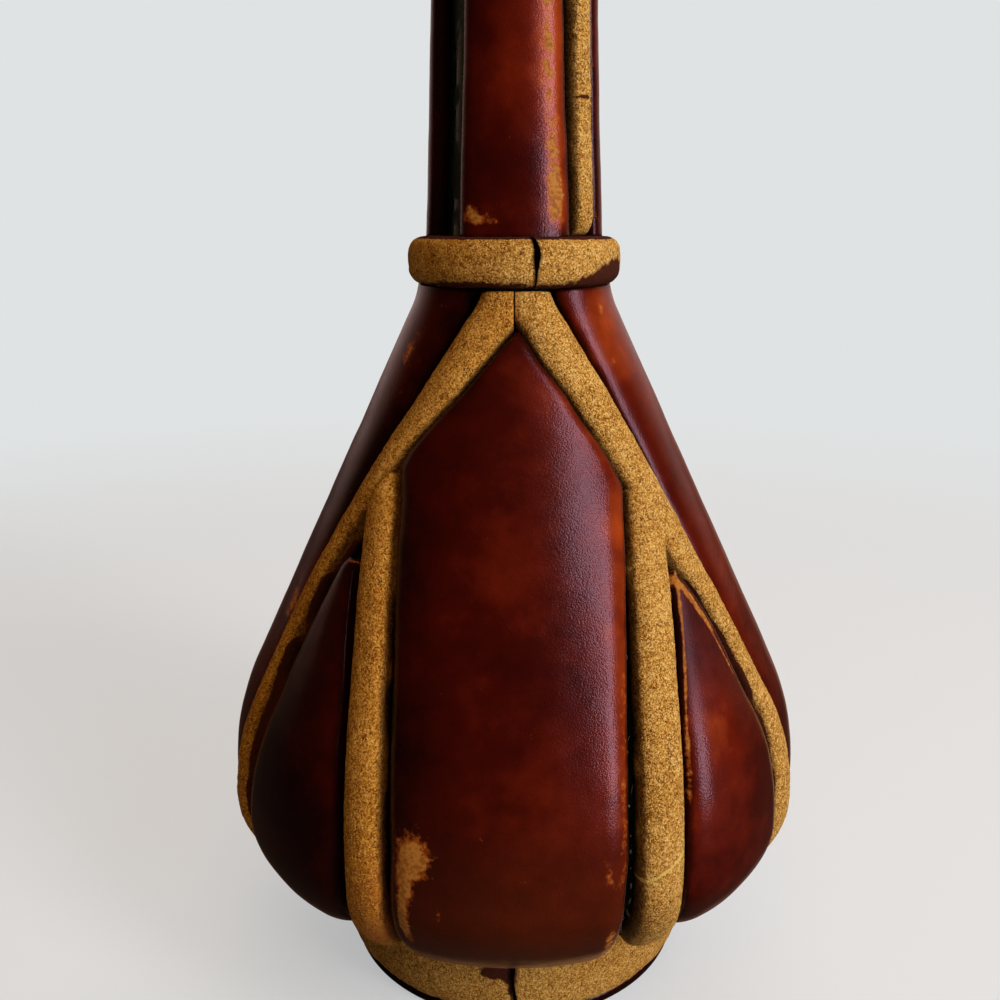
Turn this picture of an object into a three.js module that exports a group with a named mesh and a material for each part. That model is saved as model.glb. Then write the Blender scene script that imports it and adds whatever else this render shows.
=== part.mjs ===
// Leather-wrapped decanter: a dark glass carafe dressed in moulded leather straps and gussets, framed by
// round-backed cork beads, with a corked stopper.
// Millimetres, +Z up. The origin is on the table, under the bottle's axis. The front faces -Y.
import * as THREE from 'three';

const { degToRad, lerp, clamp } = THREE.MathUtils;

// Driving dimensions: glass bottle, heights measured from the glass base
const BELLY_RADIUS = 59.9;
const BELLY_HEIGHT = 43.5;
const BELLY_ARC_RADIUS = 52;
const BELLY_HANDLE = 10.3;
const HEEL_RADIUS = 38;
const HEEL_HEIGHT = 15;
const HEEL_HANDLE = 4;
const HEEL_LEAN = degToRad(58);
const HEEL_ROUND = 2;
const CONE_HALF_ANGLE = degToRad(25.4);
const SHOULDER_RADIUS = 15.3;
const SHOULDER_BLEND = 5;
const NECK_LENGTH = 106;
const NECK_WAIST_RADIUS = 12.6;
const NECK_WAIST_HEIGHT = 53;
const NECK_TOP_RADIUS = 11.3;
const LIP_FLARE = 1.6;
const LIP_HEIGHT = 5;
const LIP_ROUND = 1.2;
const GLASS_WALL = 2.6;
const PUNT_RADIUS = 27;
const PUNT_RISE = 6;

// Driving dimensions: straps and beads, widths measured round the leather's outer face
const GLUE_GAP = 0.4;
const FIT_GAP = 0.3;
const FRONT_STRAP_WIDTH = 46.7;
const SIDE_STRAP_WIDTH = 43.8;
const GROOVE = 1.6;
const BEAD_WIDTH = 9.6;
const BEAD_HEIGHT = 5.3;
const BEAD_LAND = 0.6;
const BEAD_SQUARENESS = 2.8;
const BEAD_END_ROUND = 4;
const PANEL_THICKNESS = 4.8;
const PANEL_EDGE = 2.4;
const PANEL_ROLL = 4.8;
const MITRE_GAP = 0.7;
const TIP_WIDTH = 0.8;

// Driving dimensions: neck dressing
const NECK_PANEL_THICKNESS = 3.5;
const NECK_PANEL_EDGE = 1.4;
const NECK_PANEL_ROLL = 3.2;
const NECK_BEAD_AZIMUTH = degToRad(55);
const NECK_BEAD_WIDTH = 6;
const NECK_BEAD_HEIGHT = 3.7;
const NECK_GROOVE = 2;

// Driving dimensions: cork rings and base
const COLLAR_RISE = 2.8;
const COLLAR_WIDTH = 10;
const COLLAR_RADIUS = 22.4;
const COLLAR_SQUARENESS = 3.4;
const COLLAR_SEAM = degToRad(10);
const FOOT_BEAD_WIDTH = 15;
const FOOT_BEAD_HEIGHT = 2.7;
const FOOT_SEAM = degToRad(-1);
const MOUTH_BEAD_WIDTH = 8.5;
const MOUTH_BEAD_HEIGHT = 5.2;
const MOUTH_SEAM = degToRad(170);
const ROUND_SQUARENESS = 2;
const SEAM_GAP = 1.4;
const DISC_OVERHANG = 1.5;
const DISC_THICKNESS = 2.2;
const DISC_CHAMFER = 0.5;

// Driving dimensions: stopper, heights measured from its seat on the lip
const PLUG_LENGTH = 26;
const PLUG_TAPER = 0.9;
const PLUG_CLEARANCE = 0.35;
const PLUG_CHAMFER = 1;
const DOWEL_RADIUS = 3;
const DOWEL_LENGTH = 12;
const CORE_RADIUS = 13;
const STOPPER_BEAD_WIDTH = 8.5;
const STOPPER_BEAD_HEIGHT = 5;
const CAP_RADIUS = 17;
const CAP_HEIGHT = 24;
const CAP_THICKNESS = 2.6;
const CAP_EDGE_ROUND = 1.2;

// Mesh resolution
const LATHE_SEGMENTS = 32;
const RING_SEGMENTS = 28;
const RING_SIDES = 6;
const STOPPER_SEGMENTS = 20;
const DOME_STEPS = 5;
const PUNT_STEPS = 3;
const BEAD_COLUMNS = 4;
const PANEL_COLUMNS = 6;
const SIDE_PANEL_COLUMNS = 8;
const GABLE_ROWS = 3;
const FIRST_ROLL_ROW = 0.2;
const FIRST_END_ROW = 0.25;
const LEAST_ROW_STEP = 0.4;
const STATIONS_PER_STRETCH = [5, 3, 6, 2, 4];
const BISECTIONS = 50;

const QUARTER_TURN = Math.PI / 2;

function finish(color, roughness) {
  return () => new THREE.MeshStandardMaterial({ color, roughness, metalness: 0 });
}

const leather = finish(0x5a1d10, 0.34);
const cork = finish(0xa8793c, 0.92);
const darkGlass = finish(0x0c1a12, 0.06);
const wood = finish(0x7a5230, 0.7);

const point = (radius, height) => new THREE.Vector2(radius, height);

// The glass skin: one smooth meridian line from the heel to the lip.
function buildSkin() {
  const skin = new THREE.CurvePath();
  const heel = point(HEEL_RADIUS, HEEL_HEIGHT);
  const heelHandle = point(
    HEEL_RADIUS + HEEL_HANDLE * Math.cos(HEEL_LEAN),
    HEEL_HEIGHT + HEEL_HANDLE * Math.sin(HEEL_LEAN),
  );
  const bellyHandle = point(BELLY_RADIUS, BELLY_HEIGHT - BELLY_HANDLE);
  const belly = point(BELLY_RADIUS, BELLY_HEIGHT);
  skin.add(new THREE.CubicBezierCurve(heel, heelHandle, bellyHandle, belly));

  const arcCentre = BELLY_RADIUS - BELLY_ARC_RADIUS;
  skin.add(new THREE.EllipseCurve(
    arcCentre, BELLY_HEIGHT, BELLY_ARC_RADIUS, BELLY_ARC_RADIUS, 0, CONE_HALF_ANGLE,
  ));
  const coneStart = point(
    arcCentre + BELLY_ARC_RADIUS * Math.cos(CONE_HALF_ANGLE),
    BELLY_HEIGHT + BELLY_ARC_RADIUS * Math.sin(CONE_HALF_ANGLE),
  );
  const coneRise = (coneStart.x - SHOULDER_RADIUS) / Math.tan(CONE_HALF_ANGLE);
  const shoulder = point(SHOULDER_RADIUS, coneStart.y + coneRise);
  const waist = point(NECK_WAIST_RADIUS, shoulder.y + NECK_WAIST_HEIGHT);
  const neckTop = point(NECK_TOP_RADIUS, shoulder.y + NECK_LENGTH);
  const coneEnd = shoulder.clone().add(coneStart.clone().sub(shoulder).setLength(SHOULDER_BLEND));
  const neckStart = shoulder.clone().add(waist.clone().sub(shoulder).setLength(SHOULDER_BLEND));
  skin.add(new THREE.LineCurve(coneStart, coneEnd));
  skin.add(new THREE.QuadraticBezierCurve(coneEnd, shoulder, neckStart));
  skin.add(new THREE.QuadraticBezierCurve(neckStart, waist, neckTop));
  return { skin, shoulderHeight: shoulder.y, neckTop };
}

const { skin, shoulderHeight, neckTop } = buildSkin();
const skinLength = skin.getLength();
const [bellyS, coneStartS, coneEndS, neckStartS] = skin.getCurveLengths();

// Stations along the skin, shared by the glass and everything laid on it, so that their facets line up.
const stations = [0];
skin.getCurveLengths().forEach((end, stretch) => {
  const start = stations[stations.length - 1];
  const count = STATIONS_PER_STRETCH[stretch];
  for (let k = 1; k <= count; k++) stations.push(lerp(start, end, k / count));
});
const halfwayStations = stations.slice(1).map((s, i) => (s + stations[i]) / 2);

// The skin at a distance s from the heel: radius, height, outward normal, and how fast it widens.
function skinAt(s) {
  const share = clamp(s / skinLength, 0, 1);
  const at = skin.getPoint(share);
  const tangent = skin.getTangent(share);
  return { radius: at.x, height: at.y, normal: point(tangent.y, -tangent.x), widening: tangent.x };
}

// A point at a distance off the glass. Azimuth 0 is the front and turns towards +X.
function skinPoint(s, azimuth, off) {
  const { radius, height, normal } = skinAt(s);
  const r = radius + normal.x * off;
  return new THREE.Vector3(r * Math.sin(azimuth), -r * Math.cos(azimuth), height + normal.y * off);
}

// The place between low and high where a function changes sign.
function crossing(fn, low, high) {
  const lowSign = Math.sign(fn(low));
  for (let i = 0; i < BISECTIONS; i++) {
    const middle = (low + high) / 2;
    if (Math.sign(fn(middle)) === lowSign) low = middle;
    else high = middle;
  }
  return (low + high) / 2;
}

// Where a wall of a given thickness, standing square to the glass, has its outer edge at a height.
function whereEdgeReaches(targetHeight, thickness, low, high) {
  return crossing((s) => {
    const { height, normal } = skinAt(s);
    return height + normal.y * (GLUE_GAP + thickness) - targetHeight;
  }, low, high);
}

const footBeadTop = FIT_GAP + FOOT_BEAD_WIDTH;
const collarBottom = shoulderHeight + COLLAR_RISE;
const collarTop = collarBottom + COLLAR_WIDTH;
const mouthBeadTop = neckTop.y - FIT_GAP;
const mouthBeadBottom = mouthBeadTop - MOUTH_BEAD_WIDTH;
const bodyBottom = whereEdgeReaches(footBeadTop + FIT_GAP, BEAD_HEIGHT, 0, bellyS);
const bodyTop = whereEdgeReaches(collarBottom - FIT_GAP, BEAD_HEIGHT, coneStartS, neckStartS);
const neckBottom = whereEdgeReaches(collarTop + FIT_GAP, 0, coneEndS, skinLength);
const neckEnd = whereEdgeReaches(mouthBeadBottom - FIT_GAP, NECK_PANEL_THICKNESS, neckStartS, skinLength);

function faceRadius(s, thickness) {
  const { radius, normal } = skinAt(s);
  return radius + normal.x * (GLUE_GAP + thickness);
}

const bodyRadius = (s) => faceRadius(s, PANEL_THICKNESS);

// Straps hang at the front, the back and the sides, each with a bead along both edges. A bead keeps its
// distance from the strap's middle, so it leans to the meridian where the bottle tapers. All lines are
// angles from the middle of their strap.
const HALF_BEAD = BEAD_WIDTH / 2;

function strapLines(strapWidth) {
  const beadOffset = strapWidth / 2 + GROOVE + HALF_BEAD;
  const beadLine = (s) => {
    const reach = bodyRadius(s);
    const swing = beadOffset / reach;
    const lean = Math.atan(swing * skinAt(s).widening);
    return { swing, spread: reach * Math.cos(lean) };
  };
  const beside = (distance) => (s) => {
    const { swing, spread } = beadLine(s);
    return swing + distance / spread;
  };
  // How far an angle is from the bead's middle line, as a share of the bead's half width.
  const acrossBead = (s, angle) => {
    const { swing, spread } = beadLine(s);
    return ((angle - swing) * spread) / HALF_BEAD;
  };
  return {
    strapEdge: beside(-HALF_BEAD - GROOVE),
    beadNear: beside(-HALF_BEAD),
    beadFar: beside(HALF_BEAD),
    gussetEdge: beside(HALF_BEAD + GROOVE),
    mitreEdge: beside(HALF_BEAD + MITRE_GAP),
    acrossBead,
  };
}

const front = strapLines(FRONT_STRAP_WIDTH);
const side = strapLines(SIDE_STRAP_WIDTH);
const fromSide = (azimuth) => QUARTER_TURN - azimuth;
const halfMitre = (s) => MITRE_GAP / 2 / bodyRadius(s);
const tipAngle = (s) => TIP_WIDTH / bodyRadius(s);

// The line half way between the beads of neighbouring straps, where they meet near the foot.
const footMitre = (s) => (front.beadFar(s) + fromSide(side.beadFar(s))) / 2;

// The four quarters of the bottle, each a mirror image of the front right one.
const QUARTERS = {
  front_right: (azimuth) => azimuth,
  front_left: (azimuth) => -azimuth,
  back_right: (azimuth) => Math.PI - azimuth,
  back_left: (azimuth) => Math.PI + azimuth,
};

// Rows of a piece: its two ends, the stations between them and any rows of its own.
function rowsBetween(start, end, extra = []) {
  const inside = (s) => s > start + LEAST_ROW_STEP && s < end - LEAST_ROW_STEP;
  const between = [...stations, ...extra].filter(inside);
  between.sort((a, b) => a - b);
  const spaced = between.filter((s, i) => i === 0 || s - between[i - 1] > LEAST_ROW_STEP);
  return [start, ...spaced, end];
}

// Shares across a piece, from 0 to 1: crowded at the edges as points on a half circle are.
function roundColumns(count) {
  return Array.from({ length: count + 1 }, (_, j) => (1 - Math.cos((Math.PI * j) / count)) / 2);
}

// Shares across a broad piece: half way between even and crowded.
function broadColumns(count) {
  return roundColumns(count).map((crowded, j) => (crowded + j / count) / 2);
}

// A closed solid from a grid of outer points over a grid of inner points. Both have the same rows, and
// each column of the inner grid lies under one of the outer grid, a fixed number of columns apart.
function solidFromGrids(outer, inner) {
  const columns = outer[0].length;
  const underColumns = inner[0].length;
  const stride = (columns - 1) / (underColumns - 1);
  const layer = outer.length * columns;
  const lastRow = outer.length - 1;
  const positions = [...outer, ...inner].flat().flatMap((p) => p.toArray());
  const index = [];
  const quad = (a, b, c, d) => index.push(a, b, c, a, c, d);
  const at = (i, j) => i * columns + j;
  const under = (i, j) => layer + i * underColumns + j;
  for (let i = 0; i < lastRow; i++) {
    for (let j = 0; j + 1 < columns; j++) {
      quad(at(i, j), at(i, j + 1), at(i + 1, j + 1), at(i + 1, j));
    }
    for (let j = 0; j + 1 < underColumns; j++) {
      quad(under(i, j), under(i + 1, j), under(i + 1, j + 1), under(i, j + 1));
    }
    quad(at(i + 1, 0), under(i + 1, 0), under(i, 0), at(i, 0));
    const edge = columns - 1;
    const underEdge = underColumns - 1;
    quad(at(i, edge), under(i, underEdge), under(i + 1, underEdge), at(i + 1, edge));
  }
  const endWall = (i, triangle) => {
    const nearest = (j) => under(i, Math.round(j / stride));
    for (let j = 0; j + 1 < columns; j++) {
      triangle(at(i, j), nearest(j), at(i, j + 1));
      if (nearest(j) !== nearest(j + 1)) triangle(nearest(j), nearest(j + 1), at(i, j + 1));
    }
  };
  endWall(0, (a, b, c) => index.push(a, b, c));
  endWall(lastRow, (a, b, c) => index.push(a, c, b));
  const geometry = new THREE.BufferGeometry();
  geometry.setAttribute('position', new THREE.Float32BufferAttribute(positions, 3));
  geometry.setIndex(index);
  geometry.computeVertexNormals();
  return geometry;
}

// A piece laid on the glass. Each row reaches from low(s) to high(s) in the front right quarter's
// azimuths, and turn carries them to the piece's own quarter.
function layOnGlass({ rows, columns, stride, low, high, height, turn }) {
  const outer = [];
  const inner = [];
  for (const s of rows) {
    const homes = columns.map((share) => lerp(low(s), high(s), share));
    if (turn(homes[0]) > turn(homes[homes.length - 1])) homes.reverse();
    const underside = homes.filter((_, j) => j % stride === 0);
    outer.push(homes.map((azimuth) => skinPoint(s, turn(azimuth), GLUE_GAP + height(s, azimuth))));
    inner.push(underside.map((azimuth) => skinPoint(s, turn(azimuth), GLUE_GAP)));
  }
  return solidFromGrids(outer, inner);
}

// A quarter-round rise from 0 at the edge to 1 a full roll away from it.
const roundOver = (share) => Math.sqrt(1 - (1 - clamp(share, 0, 1)) ** 2);

// Moulded leather: full thickness inside, rolled down to a thin edge all round.
function leatherPad({ low, high, start, end, columns, stride, extraRows = [], turn, style }) {
  const { thickness, edge, roll } = style;
  const height = (s, azimuth) => {
    const aside = Math.min(azimuth - low(s), high(s) - azimuth) * skinAt(s).radius;
    const inward = Math.min(aside, s - start, end - s);
    return lerp(edge, thickness, roundOver(inward / roll));
  };
  const rollRows = [FIRST_ROLL_ROW, 1].flatMap((share) => [start + share * roll, end - share * roll]);
  return layOnGlass({
    rows: rowsBetween(start, end, [...rollRows, ...extraRows]),
    columns: broadColumns(columns),
    stride,
    low,
    high,
    height,
    turn,
  });
}

// A rounded back: 1 in the middle, 0 at the edges. It is half round at squareness 2, flatter above.
const roundBack = (aside, squareness) => (1 - Math.min(1, Math.abs(aside)) ** squareness) ** (1 / squareness);

// Cork strip: a low land at each edge, a rounded back between, and rounded ends.
// aside(s, azimuth) is the distance from the bead's middle line as a share of its half width.
function corkBead({ low, high, start, end, extraRows = [], aside, crown, turn }) {
  const height = (s, azimuth) => {
    const back = roundBack(aside(s, azimuth), BEAD_SQUARENESS);
    const ends = roundOver(Math.min(s - start, end - s) / BEAD_END_ROUND);
    return lerp(BEAD_LAND, crown, back * ends);
  };
  const endRows = [FIRST_END_ROW, 1].flatMap((share) => {
    const off = share * BEAD_END_ROUND;
    return [start + off, end - off];
  });
  return layOnGlass({
    rows: rowsBetween(start, end, [...endRows, ...extraRows]),
    columns: roundColumns(BEAD_COLUMNS),
    stride: BEAD_COLUMNS / 2,
    low,
    high,
    height,
    turn,
  });
}

const BODY_LEATHER = { thickness: PANEL_THICKNESS, edge: PANEL_EDGE, roll: PANEL_ROLL };
const NECK_LEATHER = { thickness: NECK_PANEL_THICKNESS, edge: NECK_PANEL_EDGE, roll: NECK_PANEL_ROLL };

function addMesh(group, name, geometry, material) {
  const mesh = new THREE.Mesh(geometry, material());
  mesh.name = name;
  group.add(mesh);
}

// A solid of revolution about Z from a profile of (radius, height) points.
function revolve(profile, segments) {
  return new THREE.LatheGeometry(profile, segments).rotateX(QUARTER_TURN);
}

function glassBottle() {
  const offSkin = (places, off) => places.map((s) => {
    const { radius, height, normal } = skinAt(s);
    return point(radius + normal.x * off, height + normal.y * off);
  });
  const innerStations = stations.filter((_, i) => i % 2 === 0);
  const punt = (rise, foot) => new THREE.QuadraticBezierCurve(
    point(0, rise), point(PUNT_RADIUS / 2, rise), point(PUNT_RADIUS, foot),
  ).getPoints(PUNT_STEPS);
  const bore = NECK_TOP_RADIUS - GLASS_WALL;
  const lipRadius = NECK_TOP_RADIUS + LIP_FLARE;
  const lipTop = neckTop.y + LIP_HEIGHT;
  return revolve([
    ...punt(PUNT_RISE, 0),
    point(HEEL_RADIUS - HEEL_ROUND, 0),
    point(HEEL_RADIUS, HEEL_ROUND),
    ...offSkin(stations, 0),
    point(lipRadius, neckTop.y + LIP_ROUND),
    point(lipRadius, lipTop - LIP_ROUND),
    point(lipRadius - LIP_ROUND, lipTop),
    point(bore + LIP_ROUND / 2, lipTop),
    point(bore, lipTop - LIP_ROUND),
    ...offSkin(innerStations, -GLASS_WALL).reverse(),
    point(HEEL_RADIUS - GLASS_WALL, HEEL_ROUND + GLASS_WALL),
    ...punt(PUNT_RISE + GLASS_WALL, GLASS_WALL).reverse(),
  ], LATHE_SEGMENTS);
}

// A cork strip bent into a ring that stays open by a narrow seam.
function seamedRing({ innerRadius, outerRadius, bottom, top, seam, squareness, segments }) {
  const halfGap = SEAM_GAP / 2 / outerRadius;
  const back = roundColumns(RING_SIDES).map((share) => {
    const bulge = roundBack(2 * share - 1, squareness);
    return point(lerp(innerRadius + BEAD_LAND, outerRadius, bulge), lerp(top, bottom, share));
  });
  const flat = [point(innerRadius, top), point(innerRadius, bottom)];
  const sweep = (section) => Array.from({ length: segments + 1 }, (_, i) => {
    const azimuth = seam + lerp(halfGap, 2 * Math.PI - halfGap, i / segments);
    return section.map(({ x, y }) => new THREE.Vector3(x * Math.sin(azimuth), -x * Math.cos(azimuth), y));
  });
  return solidFromGrids(sweep(back), sweep(flat));
}

// The inner radius at which a faceted ring clears what it goes round, at its flats too.
function ringRound(radius, segments) {
  return (radius + FIT_GAP) / Math.cos(Math.PI / segments);
}

function glassRadiusAt(targetHeight) {
  return skinAt(crossing((s) => skinAt(s).height - targetHeight, 0, skinLength)).radius;
}

function addRings(group) {
  const collarInner = ringRound(glassRadiusAt(collarBottom), RING_SEGMENTS);
  const footInner = ringRound(glassRadiusAt(Math.max(footBeadTop, HEEL_HEIGHT)), RING_SEGMENTS);
  const mouthInner = ringRound(glassRadiusAt(mouthBeadBottom), RING_SEGMENTS);
  addMesh(group, 'collar_bead', seamedRing({
    innerRadius: collarInner,
    outerRadius: COLLAR_RADIUS,
    bottom: collarBottom,
    top: collarTop,
    seam: COLLAR_SEAM,
    squareness: COLLAR_SQUARENESS,
    segments: RING_SEGMENTS,
  }), cork);
  addMesh(group, 'foot_bead', seamedRing({
    innerRadius: footInner,
    outerRadius: footInner + FOOT_BEAD_HEIGHT,
    bottom: FIT_GAP,
    top: footBeadTop,
    seam: FOOT_SEAM,
    squareness: ROUND_SQUARENESS,
    segments: RING_SEGMENTS,
  }), cork);
  addMesh(group, 'mouth_bead', seamedRing({
    innerRadius: mouthInner,
    outerRadius: mouthInner + MOUTH_BEAD_HEIGHT,
    bottom: mouthBeadBottom,
    top: mouthBeadTop,
    seam: MOUTH_SEAM,
    squareness: ROUND_SQUARENESS,
    segments: RING_SEGMENTS,
  }), cork);
}

// Front and back straps rise to a gable where the beads of the side straps close in.
function addGableStraps(group) {
  const edge = (s) => Math.min(front.strapEdge(s), fromSide(side.gussetEdge(s)));
  const tip = crossing((s) => edge(s) - tipAngle(s) / 2, coneStartS, bodyTop);
  const gableFoot = crossing((s) => front.strapEdge(s) - fromSide(side.gussetEdge(s)), coneStartS, tip);
  const gableRows = Array.from({ length: GABLE_ROWS }, (_, k) => lerp(gableFoot, tip, k / GABLE_ROWS));
  const places = [['front_panel', QUARTERS.front_right], ['back_panel', QUARTERS.back_left]];
  for (const [name, turn] of places) {
    addMesh(group, name, leatherPad({
      low: (s) => -edge(s),
      high: edge,
      start: bodyBottom,
      end: tip,
      columns: PANEL_COLUMNS,
      stride: 1,
      extraRows: gableRows,
      turn,
      style: BODY_LEATHER,
    }), leather);
  }
}

// Side straps run whole from the foot to the collar.
function addSideStraps(group) {
  const places = [['right_side_panel', QUARTERS.front_right], ['left_side_panel', QUARTERS.front_left]];
  for (const [name, turn] of places) {
    addMesh(group, name, leatherPad({
      low: (s) => QUARTER_TURN - side.strapEdge(s),
      high: (s) => QUARTER_TURN + side.strapEdge(s),
      start: bodyBottom,
      end: bodyTop,
      columns: SIDE_PANEL_COLUMNS,
      stride: 1,
      turn,
      style: BODY_LEATHER,
    }), leather);
  }
}

// Gussets: leaf-shaped pads that fill what the straps and their beads leave between them.
function addGussets(group) {
  const sideEdge = (s) => fromSide(side.gussetEdge(s));
  const room = (s) => sideEdge(s) - front.gussetEdge(s) - tipAngle(s);
  const bottomTip = room(bodyBottom) > 0 ? bodyBottom : crossing(room, bodyBottom, bellyS);
  const topTip = crossing(room, coneStartS, bodyTop);
  for (const [quarter, turn] of Object.entries(QUARTERS)) {
    addMesh(group, `${quarter}_gusset`, leatherPad({
      low: front.gussetEdge,
      high: sideEdge,
      start: bottomTip,
      end: topTip,
      columns: PANEL_COLUMNS,
      stride: 2,
      turn,
      style: BODY_LEATHER,
    }), leather);
  }
}

// Upright beads frame the front and back straps and stop under the diagonal beads.
// Near the foot the two meet on the line half way between the straps.
function addUprightBeads(group) {
  const stop = (s) => (s > bellyS ? fromSide(side.mitreEdge(s)) : footMitre(s) - halfMitre(s));
  const high = (s) => Math.min(front.beadFar(s), stop(s));
  const tip = crossing((s) => high(s) - front.beadNear(s) - tipAngle(s), coneStartS, bodyTop);
  const mitreFoot = crossing((s) => front.beadFar(s) - stop(s), coneStartS, tip);
  for (const [quarter, turn] of Object.entries(QUARTERS)) {
    addMesh(group, `${quarter}_upright_bead`, corkBead({
      low: front.beadNear,
      high,
      start: bodyBottom,
      end: tip,
      extraRows: [mitreFoot, (mitreFoot + tip) / 2],
      aside: front.acrossBead,
      crown: BEAD_HEIGHT,
      turn,
    }), cork);
  }
}

// Diagonal beads frame the side straps and meet at the front and the back, just under the collar.
function addDiagonalBeads(group) {
  const stop = (s) => (s > bellyS ? halfMitre(s) : footMitre(s) + halfMitre(s));
  for (const [quarter, turn] of Object.entries(QUARTERS)) {
    addMesh(group, `${quarter}_diagonal_bead`, corkBead({
      low: (s) => Math.max(fromSide(side.beadFar(s)), stop(s)),
      high: (s) => fromSide(side.beadNear(s)),
      start: bodyBottom,
      end: bodyTop,
      extraRows: halfwayStations.filter((s) => s > coneStartS),
      aside: (s, azimuth) => side.acrossBead(s, fromSide(azimuth)),
      crown: BEAD_HEIGHT,
      turn,
    }), cork);
  }
}

// Neck: four strips of leather with narrow cork beads between. The front left bead is lost, and its
// empty channel shows the glass.
function addNeckDressing(group) {
  const neckRadius = (s) => faceRadius(s, NECK_PANEL_THICKNESS);
  const beside = (s, distance) => NECK_BEAD_AZIMUTH + distance / neckRadius(s);
  const halfBead = NECK_BEAD_WIDTH / 2;
  const gableEdge = (s) => beside(s, -halfBead - NECK_GROOVE);
  const flankEdge = (s) => beside(s, halfBead + NECK_GROOVE);
  const gable = { low: (s) => -gableEdge(s), high: gableEdge };
  const flank = { low: flankEdge, high: (s) => Math.PI - flankEdge(s) };
  const strips = [
    ['neck_front_panel', gable, QUARTERS.front_right],
    ['neck_back_panel', gable, QUARTERS.back_left],
    ['neck_right_panel', flank, QUARTERS.front_right],
    ['neck_left_panel', flank, QUARTERS.front_left],
  ];
  for (const [name, sides, turn] of strips) {
    addMesh(group, name, leatherPad({
      ...sides,
      start: neckBottom,
      end: neckEnd,
      columns: PANEL_COLUMNS,
      stride: 1,
      turn,
      style: NECK_LEATHER,
    }), leather);
  }
  for (const quarter of ['front_right', 'back_right', 'back_left']) {
    addMesh(group, `neck_${quarter}_bead`, corkBead({
      low: (s) => beside(s, -halfBead),
      high: (s) => beside(s, halfBead),
      start: neckBottom,
      end: neckEnd,
      aside: (s, azimuth) => ((azimuth - NECK_BEAD_AZIMUTH) * neckRadius(s)) / halfBead,
      crown: NECK_BEAD_HEIGHT,
      turn: QUARTERS[quarter],
    }), cork);
  }
}

function baseDisc() {
  const radius = HEEL_RADIUS + DISC_OVERHANG;
  return revolve([
    point(0, 0),
    point(radius - DISC_CHAMFER, 0),
    point(radius, DISC_CHAMFER),
    point(radius, DISC_THICKNESS),
    point(0, DISC_THICKNESS),
  ], LATHE_SEGMENTS);
}

// Quarter-ellipse dome from its rim to its crown on the axis.
function domeProfile(radius, bottom, height) {
  return Array.from({ length: DOME_STEPS + 1 }, (_, k) => {
    const angle = (QUARTER_TURN * k) / DOME_STEPS;
    return point(k === DOME_STEPS ? 0 : radius * Math.cos(angle), bottom + height * Math.sin(angle));
  });
}

// Stopper: a tapered cork plug on a dowel, a turned core, a cork bead round its rim, a leather cap.
function addStopper(group) {
  const plugRadius = NECK_TOP_RADIUS - GLASS_WALL - PLUG_CLEARANCE;
  const plugEnd = plugRadius - PLUG_TAPER;
  const hole = DOWEL_RADIUS + FIT_GAP;
  addMesh(group, 'stopper_plug', revolve([
    point(0, -PLUG_LENGTH),
    point(plugEnd - PLUG_CHAMFER, -PLUG_LENGTH),
    point(plugEnd, -PLUG_LENGTH + PLUG_CHAMFER),
    point(plugRadius, -FIT_GAP),
    point(hole, -FIT_GAP),
    point(hole, -DOWEL_LENGTH - FIT_GAP),
    point(0, -DOWEL_LENGTH - FIT_GAP),
  ], STOPPER_SEGMENTS), cork);

  const capBottom = STOPPER_BEAD_WIDTH + FIT_GAP;
  const liningRadius = CAP_RADIUS - CAP_THICKNESS;
  const liningHeight = CAP_HEIGHT - CAP_THICKNESS;
  addMesh(group, 'stopper_core', revolve([
    point(0, -DOWEL_LENGTH),
    point(DOWEL_RADIUS, -DOWEL_LENGTH),
    point(DOWEL_RADIUS, 0),
    point(CORE_RADIUS, 0),
    point(CORE_RADIUS, capBottom),
    ...domeProfile(liningRadius - FIT_GAP, capBottom, liningHeight - FIT_GAP),
  ], STOPPER_SEGMENTS), wood);

  const beadInner = ringRound(CORE_RADIUS, STOPPER_SEGMENTS);
  addMesh(group, 'stopper_bead', seamedRing({
    innerRadius: beadInner,
    outerRadius: beadInner + STOPPER_BEAD_HEIGHT,
    bottom: 0,
    top: STOPPER_BEAD_WIDTH,
    seam: MOUTH_SEAM,
    squareness: ROUND_SQUARENESS,
    segments: STOPPER_SEGMENTS,
  }), cork);

  const domeBottom = capBottom + CAP_EDGE_ROUND;
  const lining = domeProfile(liningRadius, capBottom, liningHeight);
  addMesh(group, 'stopper_cap', revolve([
    ...domeProfile(CAP_RADIUS, domeBottom, CAP_HEIGHT - CAP_EDGE_ROUND).reverse(),
    point(CAP_RADIUS - CAP_EDGE_ROUND, capBottom),
    ...lining,
  ].reverse(), STOPPER_SEGMENTS), leather);
}

const decanter = new THREE.Group();
decanter.name = 'leather_wrapped_decanter';
addMesh(decanter, 'base_disc', baseDisc(), leather);

const bottle = new THREE.Group();
bottle.position.z = DISC_THICKNESS + FIT_GAP;
decanter.add(bottle);
addMesh(bottle, 'glass_bottle', glassBottle(), darkGlass);
addRings(bottle);
addGableStraps(bottle);
addSideStraps(bottle);
addGussets(bottle);
addUprightBeads(bottle);
addDiagonalBeads(bottle);
addNeckDressing(bottle);

const stopper = new THREE.Group();
stopper.position.z = neckTop.y + LIP_HEIGHT + FIT_GAP;
bottle.add(stopper);
addStopper(stopper);

export default decanter;
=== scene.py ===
# %% [markdown]
# # A decanter dressed in leather and cork
# A dark glass carafe wears a jacket of moulded leather. Round-backed cork beads frame every piece of it.
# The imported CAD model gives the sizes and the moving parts. This lesson gives each of its pieces the finer
# shape and the surface that a hand would feel: rolled leather edges, crumbly cork, worn dye.

import math

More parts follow.
